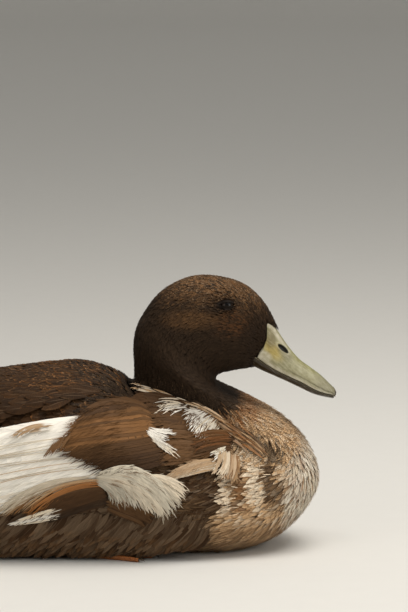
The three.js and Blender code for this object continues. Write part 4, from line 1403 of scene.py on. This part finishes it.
def upper_bill_colours(p, a, t):
    """Grey cream horn, green and yellow along the crest, yellow at the base with an olive shade
    under the lobe, a pale lobe's edge and rim, and a dark lower edge at the tip."""
    horn = np.tile(screen(152, 149, 119), (len(p), 1))
    crest = smooth(0.45, 0.1, a) * smooth(2.6, 4, t)
    horn = over(horn, screen(146, 144, 94), crest * 0.8)
    horn = over(horn, screen(176, 156, 84), patch(p, 178, 150, 9, 5, -50, 1.2) * 0.8)
    horn = over(horn, screen(118, 108, 74), patch(p, 177, 158, 4, 7, 10, 1.2) * 0.85)
    horn = over(horn, screen(120, 114, 90), patch(p, 188, 146, 6, 2.6, -38, 1.2) * 0.6)
    horn = over(horn, screen(190, 184, 164), patch(p, 173, 146, 5, 2.5, -30, 1.0) * 0.9)
    above_lobe = smooth(0.42, 0.3, a) * smooth(0.12, 0.25, a) * smooth(3.2, 2, t)
    horn = over(horn, screen(186, 180, 162), above_lobe)
    horn = over(horn, screen(132, 128, 108), smooth(206, 218, p[:, 0]) * 0.7)
    # Painted shade: a dark line along the groove above the rim, over the groove's own shallow dent.
    horn = over(horn, screen(70, 62, 42), hump(a, GROOVE, 0.022) * smooth(186, 196, p[:, 0]) * 0.6)
    horn = over(horn, screen(190, 184, 166), smooth(0.9, 0.97, a) * 0.7)
    return over(horn, screen(74, 62, 38), smooth(116.5, 114, p[:, 2]) * smooth(218, 222, p[:, 0]))


def lower_bill_colours(p, a, t):
    """Dark brown with a pale line along its upper edge."""
    horn = np.tile(screen(52, 42, 27), (len(p), 1))
    return over(horn, screen(108, 98, 72), smooth(0.95, 0.97, a))


def horn_material():
    """Horn in the bill's own colours, clouded, with fine streaks along it, specks and a soft gloss.
    Where the tint's alpha is 1 it has a nostril, an oval on the side plane, in a pale ring, with
    its hollow coloured near black as painted shade."""
    n = Nodes("bill_horn")
    tint = n.attribute("tint")
    x, y, z = n.split(n.here())
    c, s = math.cos(math.radians(NOSTRIL["lean"])), math.sin(math.radians(NOSTRIL["lean"]))
    dx, dz = n.minus(x, NOSTRIL["x"] * MM), n.minus(z, NOSTRIL["z"] * MM)
    along = n.plus(n.times(dx, c), n.times(dz, s))
    up = n.minus(n.times(dz, c), n.times(dx, s))
    cloud = n.noise(n.here(), 190, 4.0, 0.6)
    speck = n.noise(n.here(), 900, 2.0)
    streak = n.noise(n.join(n.times(along, 0.14), y, up), 1100, 3.0, 0.6)
    share = n.times(n.step(cloud, 0.4, 0.65), 0.6)
    base = n.mix(share, tint["Color"], n.mix(1.0, tint["Color"], (0.6, 0.57, 0.44), "MULTIPLY"))
    dark = n.mix(1.0, base, (0.6, 0.56, 0.45), "MULTIPLY")
    base = n.mix(n.times(n.step(streak, 0.5, 0.75), 0.45), base, dark)
    base = n.mix(n.times(n.step(streak, 0.48, 0.25), 0.3), base, screen(206, 202, 186))
    base = n.mix(n.times(n.step(speck, 0.6, 0.75), 0.4), base, (0.16, 0.13, 0.07))
    long_way = n.math("POWER", n.math("DIVIDE", along, NOSTRIL["long"] * MM), 2.0)
    high_way = n.math("POWER", n.math("DIVIDE", up, NOSTRIL["high"] * MM), 2.0)
    hole = n.math("SQRT", n.plus(long_way, high_way))
    ring = n.times(n.step(hole, 1.0, 1.2), n.step(hole, 1.7, 1.3))
    base = n.mix(n.times(n.times(ring, tint["Alpha"]), 0.3), base, screen(190, 184, 160))
    # Painted shade: the nostril's hollow is coloured near black.
    base = n.mix(n.times(n.step(hole, 1.08, 0.9), tint["Alpha"]), base, screen(14, 11, 8))
    n.set(Base_Color=base, Roughness=0.4, Specular_IOR_Level=0.4)
    height = n.plus(cloud, n.plus(n.times(speck, 0.3), n.times(streak, 0.5)))
    n.set(Normal=n.bump(height, 0.4, 0.25 * MM))
    return n.material


def bill():
    """Both halves of the bill, and the nail: a thin shield over the tip, a little off the horn,
    whose hind edge is rounded as a square root."""
    flat_start = lambda a: np.full(a.shape, 0.6)
    upper = bill_half("upper_bill", UPPER_BILL, lobe_start, False, 200, upper_bill_colours)
    lower = bill_half("lower_bill", LOWER_BILL, flat_start, True, 90, lower_bill_colours)
    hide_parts("bill_upper")
    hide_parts("bill_lower")

    off, wall = 0.28, 0.9
    t = np.linspace(7.9, 9.02, 24)[:, None]
    across = np.linspace(-1, 1, 31)[None]
    half = through(UPPER_BILL, t[:, 0])[:, 4:5]
    wide = 4.6 * np.sqrt(np.clip((t - 7.7) / 0.5, 0, 1)) * np.minimum(1, half / 5)
    sine = np.clip(np.abs(across) * wide / half, 0, 1) ** (1 / 0.85)
    a = np.arcsin(sine) / (np.pi / 2) * np.sign(across)
    outer = bill_arch(UPPER_BILL, t + 0 * a, a, False)
    normal = unit(np.cross(np.gradient(outer, axis=0), np.gradient(outer, axis=1)))
    outer = outer + normal * off
    inner = outer - normal * wall
    points = np.concatenate([outer, inner[:, ::-1]], 1)
    nail = surface("bill_nail_shield", points, MATERIALS["horn"])
    flat = points.reshape(-1, 3)
    ahead = column(smooth(216, 226, flat[:, 0]))
    tint = lerp(screen(158, 151, 122), screen(120, 110, 82), ahead)
    tint = over(tint, screen(66, 54, 33), smooth(119.5, 116, flat[:, 2]))
    attribute(nail, "tint", "FLOAT_COLOR", with_alpha(capped(tint), 0.0))
    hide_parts("bill_nail")


def eye_frame(side):
    """The eye's centre, below the plumage by its depth, and the directions outwards, forwards and
    up its side of the head."""
    u, turn, _ = locate(np.array([EYE_X]), np.array([EYE_Z]))
    normal = slopes(u, turn * side)[2]
    centre = (plumage(u, turn * side) - normal * EYE_DEPTH)[0]
    outwards = normal[0]
    ahead = np.array([1, 0, 0.02])
    forwards = unit(ahead - outwards * dot(ahead, outwards))
    upwards = np.cross(outwards, forwards) * -side
    return centre, outwards, forwards, upwards


def eye(side):
    """A wet dark eyeball, a sphere about the eye's centre. The lids are a ring that follows a
    slightly larger sphere: their opening is a long narrow oval, and from its edge each row of the
    ring goes outwards by a step and sinks under the plumage by a depth."""
    centre, outwards, forwards, upwards = eye_frame(side)
    place = lambda x, y, out: (centre + column(x) * forwards + column(y) * upwards
                               + column(out) * outwards)
    columns = 40
    angle = np.linspace(0.02, np.pi - 0.02, 28)[:, None]
    turn = np.linspace(0, 2 * np.pi, columns, endpoint=False)[None] * -side
    ball = EYE_RADIUS * np.stack([np.sin(angle) * np.cos(turn), np.sin(angle) * np.sin(turn),
                                  np.cos(angle) + 0 * turn])
    piece = surface(sided("eyeball", side), place(*ball), MATERIALS["eye"])
    rings = np.concatenate([np.repeat(angle[:, 0], columns), [0, np.pi]])
    attribute(piece, "ring", "FLOAT", rings)
    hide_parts(sided("eye", side))

    around = np.linspace(0, 2 * np.pi, 72, endpoint=False)[:, None]
    out_way = np.array([-0.25, -0.1, 0.0, 0.25, 0.6, 1.1, 1.8, 2.8, 3.0, 2.0, 0.9, 0.1])[None]
    sunk = np.array([0.9, 0.25, 0.0, -0.12, 0.0, 0.1, 0.35, 1.3, 2.4, 2.4, 2.0, 1.6])[None]
    long, above, below = 6.8, 1.35, 1.25
    high = np.where(np.sin(around) > 0, above, below)
    x = (long + out_way) * np.cos(around)
    y = (high + out_way) * np.sin(around) * (1 - 0.25 * np.abs(np.cos(around)) ** 3)
    sphere = np.sqrt(np.maximum((EYE_RADIUS + 0.5) ** 2 - x**2 - y**2, 0))
    points = place(x, y, np.maximum(sphere, 2.9) - sunk)
    surface(sided("eyelids", side), points.swapaxes(0, 1), MATERIALS["lid"],
            looped=True)


def eye_material():
    """A near black iris round a black pupil, by the angle from the eye's axis, wet and smooth."""
    n = Nodes("eye_wet")
    ring = n.attribute("ring")["Fac"]
    streak = n.noise(n.here(), 1500, 2.0)
    iris = n.mix(streak, screen(20, 14, 9), screen(40, 26, 15))
    base = n.mix(n.step(ring, 0.42, 0.5), (0.002, 0.002, 0.002), iris)
    base = n.mix(n.step(ring, 0.85, 1.0), base, (0.006, 0.005, 0.004))
    n.set(Base_Color=base, Roughness=0.12, Specular_IOR_Level=0.22)
    return n.material


def lid_material():
    """Bare dark skin with small folds."""
    n = Nodes("eyelid_skin")
    folds = n.noise(n.here(), 1300, 3.0)
    base = n.mix(folds, screen(14, 10, 8), screen(32, 24, 17))
    n.set(Base_Color=base, Roughness=0.7, Specular_IOR_Level=0.12)
    n.set(Normal=n.bump(folds, 0.5, 0.2 * MM))
    return n.material


# ---------- legs and feet ----------

# The foot's place, half its height, each toe's angle outwards in degrees and its length, and how
# far along the toes the web reaches.
FOOT = {"x": 34, "y": 45, "sole": 1.2, "toes": [[-9, 46], [9, 60], [27, 55]], "web": 0.9}
TOE_NAMES = ["inner", "middle", "outer"]
TOE_JOINTS = [2, 3, 4]
UP = np.array([0, 0, 1])


def rod(name, line, radius, material, columns=20, flat=1.0):
    """A closed rod along a line of points, with a radius for each. Points under the floor are
    raised to it. Its finish reads how far each point is along it, in millimetres."""
    ahead = unit(np.gradient(line, axis=0))
    across = unit(np.cross(ahead, np.array([0.02, 0, 1])))
    up = np.cross(across, ahead)
    turn = np.linspace(0, 2 * np.pi, columns, endpoint=False)[None, :, None]
    ring = across[:, None] * np.cos(turn) + up[:, None] * np.sin(turn) * flat
    points = line[:, None] + ring * radius[:, None, None]
    points[..., 2] = np.maximum(points[..., 2], LOWEST)
    piece = surface(name, points[:, ::-1], material)
    way = np.concatenate([[0], np.cumsum(np.linalg.norm(np.diff(line, axis=0), axis=1))])
    above = np.sin(turn[0, ::-1, 0])[None].repeat(len(line), 0)
    place = np.stack([np.repeat(way[:, None], columns, 1), above, 0 * above], -1).reshape(-1, 3)
    ends = [[0, 0, 0], [way[-1], 0, 0]]
    attribute(piece, "place", "FLOAT_VECTOR", np.concatenate([place, ends]))
    return piece


def web(name, base, toes, side):
    """A web between two toes: straight lines from one to the other, its edge drawn in as a sine,
    with small folds across. It is a closed sheet just over the floor."""
    a, b = np.meshgrid(np.linspace(0, 1, 40), np.linspace(0, 1, 24), indexing="ij")
    share = 0.02 + a * (FOOT["web"] - 0.3 * np.sin(np.pi * b))
    first, second = (base + way * column(share * length) for way, length in toes)
    sheet = lerp(first, second, column(b))
    top, under = sheet.copy(), sheet[:, ::-1].copy()
    top[..., 2] = 1.5 + 0.25 * np.sin(b * np.pi * 5) * np.sin(np.pi * b)
    under[..., 2] = 0.5
    points = np.concatenate([top, under], 1)
    points = points if side == RIGHT else points[:, ::-1]
    piece = surface(name, points, MATERIALS["foot"])
    flat = np.concatenate([points.reshape(-1, 3), points[:1].mean(1), points[-1:].mean(1)])
    reach = np.linalg.norm(flat - base, axis=1)
    place = np.stack([reach, 0.2 + 0 * reach, 0 * reach], -1)
    attribute(piece, "place", "FLOAT_VECTOR", place)
    return piece


def leg_and_foot(side):
    """A webbed foot flat on the floor: three toes that swell at their joints as a squared cosine,
    webs between them, claws and a hind toe. The shank lies behind it and the thigh goes up."""
    base = np.array([FOOT["x"], side * FOOT["y"], 2 * FOOT["sole"]])
    s, short = np.linspace(0, 1, 60), np.linspace(0, 1, 20)
    skin_of = MATERIALS["foot"]
    toes = []
    for name, (degrees, length), joints in zip(TOE_NAMES, FOOT["toes"], TOE_JOINTS):
        angle = math.radians(degrees)
        way = np.array([math.cos(angle), side * math.sin(angle), 0])
        toes.append((way, length))
        line = base + way * column(s * (length - 5)) - UP * column(s * FOOT["sole"] * 0.6)
        swelling = 0.9 + 0.12 * np.cos(s * joints * 2 * np.pi) ** 2
        radius = lerp(3.2, 1.6, s) * swelling * np.sqrt(np.clip((1.02 - s) * 30, 0, 1))
        rod(sided(f"{name}_toe", side), line, radius, skin_of)
        t = np.linspace(0, 1, 16)
        claw = line[-1] + way * column(t * 6 - 1) + UP * column(0.9 * np.sin(t * np.pi) - 0.4 * t)
        rod(sided(f"{name}_claw", side), claw, 1.2 * np.sqrt(1.02 - t), MATERIALS["claw"],
            12, 0.8)
    webs = [web(sided(f"{TOE_NAMES[k]}_web", side), base, toes[k:k + 2], side) for k in (0, 1)]
    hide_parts(sided("foot", side))
    hind = base + np.array([-9, -9 * side, -0.9]) * column(short)
    rod(sided("hind_toe", side), hind, lerp(2.2, 1.0, short), skin_of)
    heel = np.array([-12, side * 46, 5.4])
    shank = lerp(heel, base + np.array([-1, 0, 1.2]), column(s))
    radius = 4.2 + 1.2 * (1 - smooth(0, 0.3, s)) - 0.8 * s
    piece = rod(sided("shank", side), shank, radius, skin_of, 28)
    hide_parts(sided("leg", side))
    thigh = lerp(heel, np.array([4, side * 50, 32]), column(s))
    rod(sided("thigh", side), thigh, lerp(4.8, 6.5, s), skin_of, 28)


def foot_material():
    """Orange brown foot skin: overlapping scutes across the top of toes and shank, a net of small
    scales elsewhere, and darker folds."""
    n = Nodes("foot_skin")
    along, above, _ = n.split(n.attribute("place")["Vector"])
    cells = n.tree.nodes.new("ShaderNodeTexVoronoi")
    cells.feature = "DISTANCE_TO_EDGE"
    n.put(cells.inputs["Vector"], n.here())
    cells.inputs["Scale"].default_value = 900
    net = n.step(cells.outputs[0], 0.02, 0.14)
    saw = n.math("FRACT", n.times(along, 0.55))
    on_top = n.step(above, 0.35, 0.7)
    scute = n.times(n.step(saw, 0.0, 0.25), n.step(saw, 1.0, 0.85))
    beside = n.minus(1.0, n.times(on_top, 0.7))
    height = n.plus(n.times(scute, on_top), n.times(net, beside))
    cloud = n.noise(n.here(), 160, 4.0)
    base = n.mix(cloud, screen(150, 86, 42), screen(182, 116, 62))
    base = n.mix(n.step(height, 0.0, 0.8), screen(96, 50, 24), base)
    n.set(Base_Color=base, Roughness=0.5, Specular_IOR_Level=0.35)
    n.set(Normal=n.bump(height, 0.7, 0.3 * MM))
    return n.material


def claw_material():
    """Dark horn with fine lines."""
    n = Nodes("claw_horn")
    line = n.noise(n.here(), 700, 3.0)
    n.set(Base_Color=n.mix(line, screen(38, 28, 20), screen(74, 58, 40)), Roughness=0.35)
    n.set(Normal=n.bump(line, 0.3, 0.15 * MM))
    return n.material


# ---------- floor, light and camera ----------

AIM = Vector((0.12675, 0.0, 0.1815))  # in metres, as all of the studio is
DISTANCE = 2.55
ELEVATION = math.radians(8)


def plain_material(name, rgb, rough):
    """One colour with a faint cloudy grain."""
    n = Nodes(name)
    grain = n.noise(n.here(), 60, 4.0)
    n.set(Base_Color=n.mix(grain, tuple(v * 0.97 for v in rgb), rgb), Roughness=rough)
    return n.material


def studio():
    """A pale round floor whose far edge rises in one sweep, a quarter of a circle, with large soft
    lights and the camera."""
    turn = np.linspace(0, 1, 40) * math.pi / 2
    reach = np.concatenate([np.linspace(0, 7, 30), 7 + 2 * np.sin(turn[1:]), np.full(6, 9.0)])
    height = np.concatenate([np.zeros(30), 2 * (1 - np.cos(turn[1:])), np.linspace(2.5, 5, 6)])
    columns = 96
    around = np.linspace(0, 2 * np.pi, columns, endpoint=False)
    points = np.stack([reach[:, None] * np.cos(around), reach[:, None] * np.sin(around),
                       np.repeat(height[:, None], columns, 1)], -1)
    quads = grid_faces(len(reach), columns)[columns:].tolist()
    middle = list(range(columns, 2 * columns))
    mesh = bpy.data.meshes.new("floor")
    mesh.from_pydata(points.reshape(-1, 3).tolist(), [], quads + [middle])
    mesh.polygons.foreach_set("use_smooth", np.ones(len(mesh.polygons), bool))
    mesh.materials.append(plain_material("floor_paper", (0.72, 0.715, 0.69), 0.85))
    floor = bpy.data.objects.new("floor", mesh)
    bpy.context.scene.collection.objects.link(floor)

    bpy.context.scene.view_settings.view_transform = "Standard"
    world = bpy.data.worlds.new("studio_air")
    world.use_nodes = True
    air = world.node_tree.nodes["Background"].inputs
    air["Color"].default_value = (1, 0.97, 0.92, 1)
    air["Strength"].default_value = 0.4
    bpy.context.scene.world = world

    lamp("overhead", (0.6, -0.3, 1.9), 1.3, 32)
    lamp("front_right", (1.7, -1.5, 1.0), 1.2, 14)
    lamp("front_left", (-1.6, -1.7, 1.1), 1.2, 6)

    camera = bpy.data.objects.new("camera", bpy.data.cameras.new("camera"))
    camera.data.lens = 200
    camera.data.sensor_width = 36
    back = Vector((0, -math.cos(ELEVATION), math.sin(ELEVATION)))
    camera.location = AIM + back * DISTANCE
    camera.rotation_euler = (-back).to_track_quat("-Z", "Y").to_euler()
    bpy.context.scene.collection.objects.link(camera)
    bpy.context.scene.camera = camera


def lamp(name, place, size, watts):
    """A square soft light that looks at the bird."""
    light = bpy.data.lights.new(name, "AREA")
    light.size = size
    light.energy = watts
    light.color = (1, 0.95, 0.88)
    piece = bpy.data.objects.new(name, light)
    piece.location = place
    piece.rotation_euler = (AIM - Vector(place)).to_track_quat("-Z", "Y").to_euler()
    bpy.context.scene.collection.objects.link(piece)


MATERIALS = {
    "skin": skin_material(),
    "horn": horn_material(),
    "eye": eye_material(),
    "lid": lid_material(),
    "foot": foot_material(),
    "claw": claw_material(),
    "down": feather_material("short_feathers", lean=0.4, barb_scale=1.6, barb_depth=0.25, shaft=0,
                             gloss=0.72),
    "contour": feather_material("body_feathers", lean=0.7, barb_scale=1.1, barb_depth=0.3,
                                shaft=0.3, gloss=0.66),
    "silky": feather_material("silky_feathers", lean=2.6, barb_scale=0.5, barb_depth=0.3,
                              shaft=0.2, gloss=0.6),
    "flight": feather_material("long_feathers", lean=1.1, barb_scale=0.8, barb_depth=0.3,
                               shaft=0.8, gloss=0.58),
}

skin()
head_coat()
breast_coat()
body_coat()
for bird_side in (RIGHT, LEFT):
    wing(bird_side)
    flank_skirt(bird_side)
    scapulars(bird_side)
    eye(bird_side)
    leg_and_foot(bird_side)
tail()
bill()
studio()
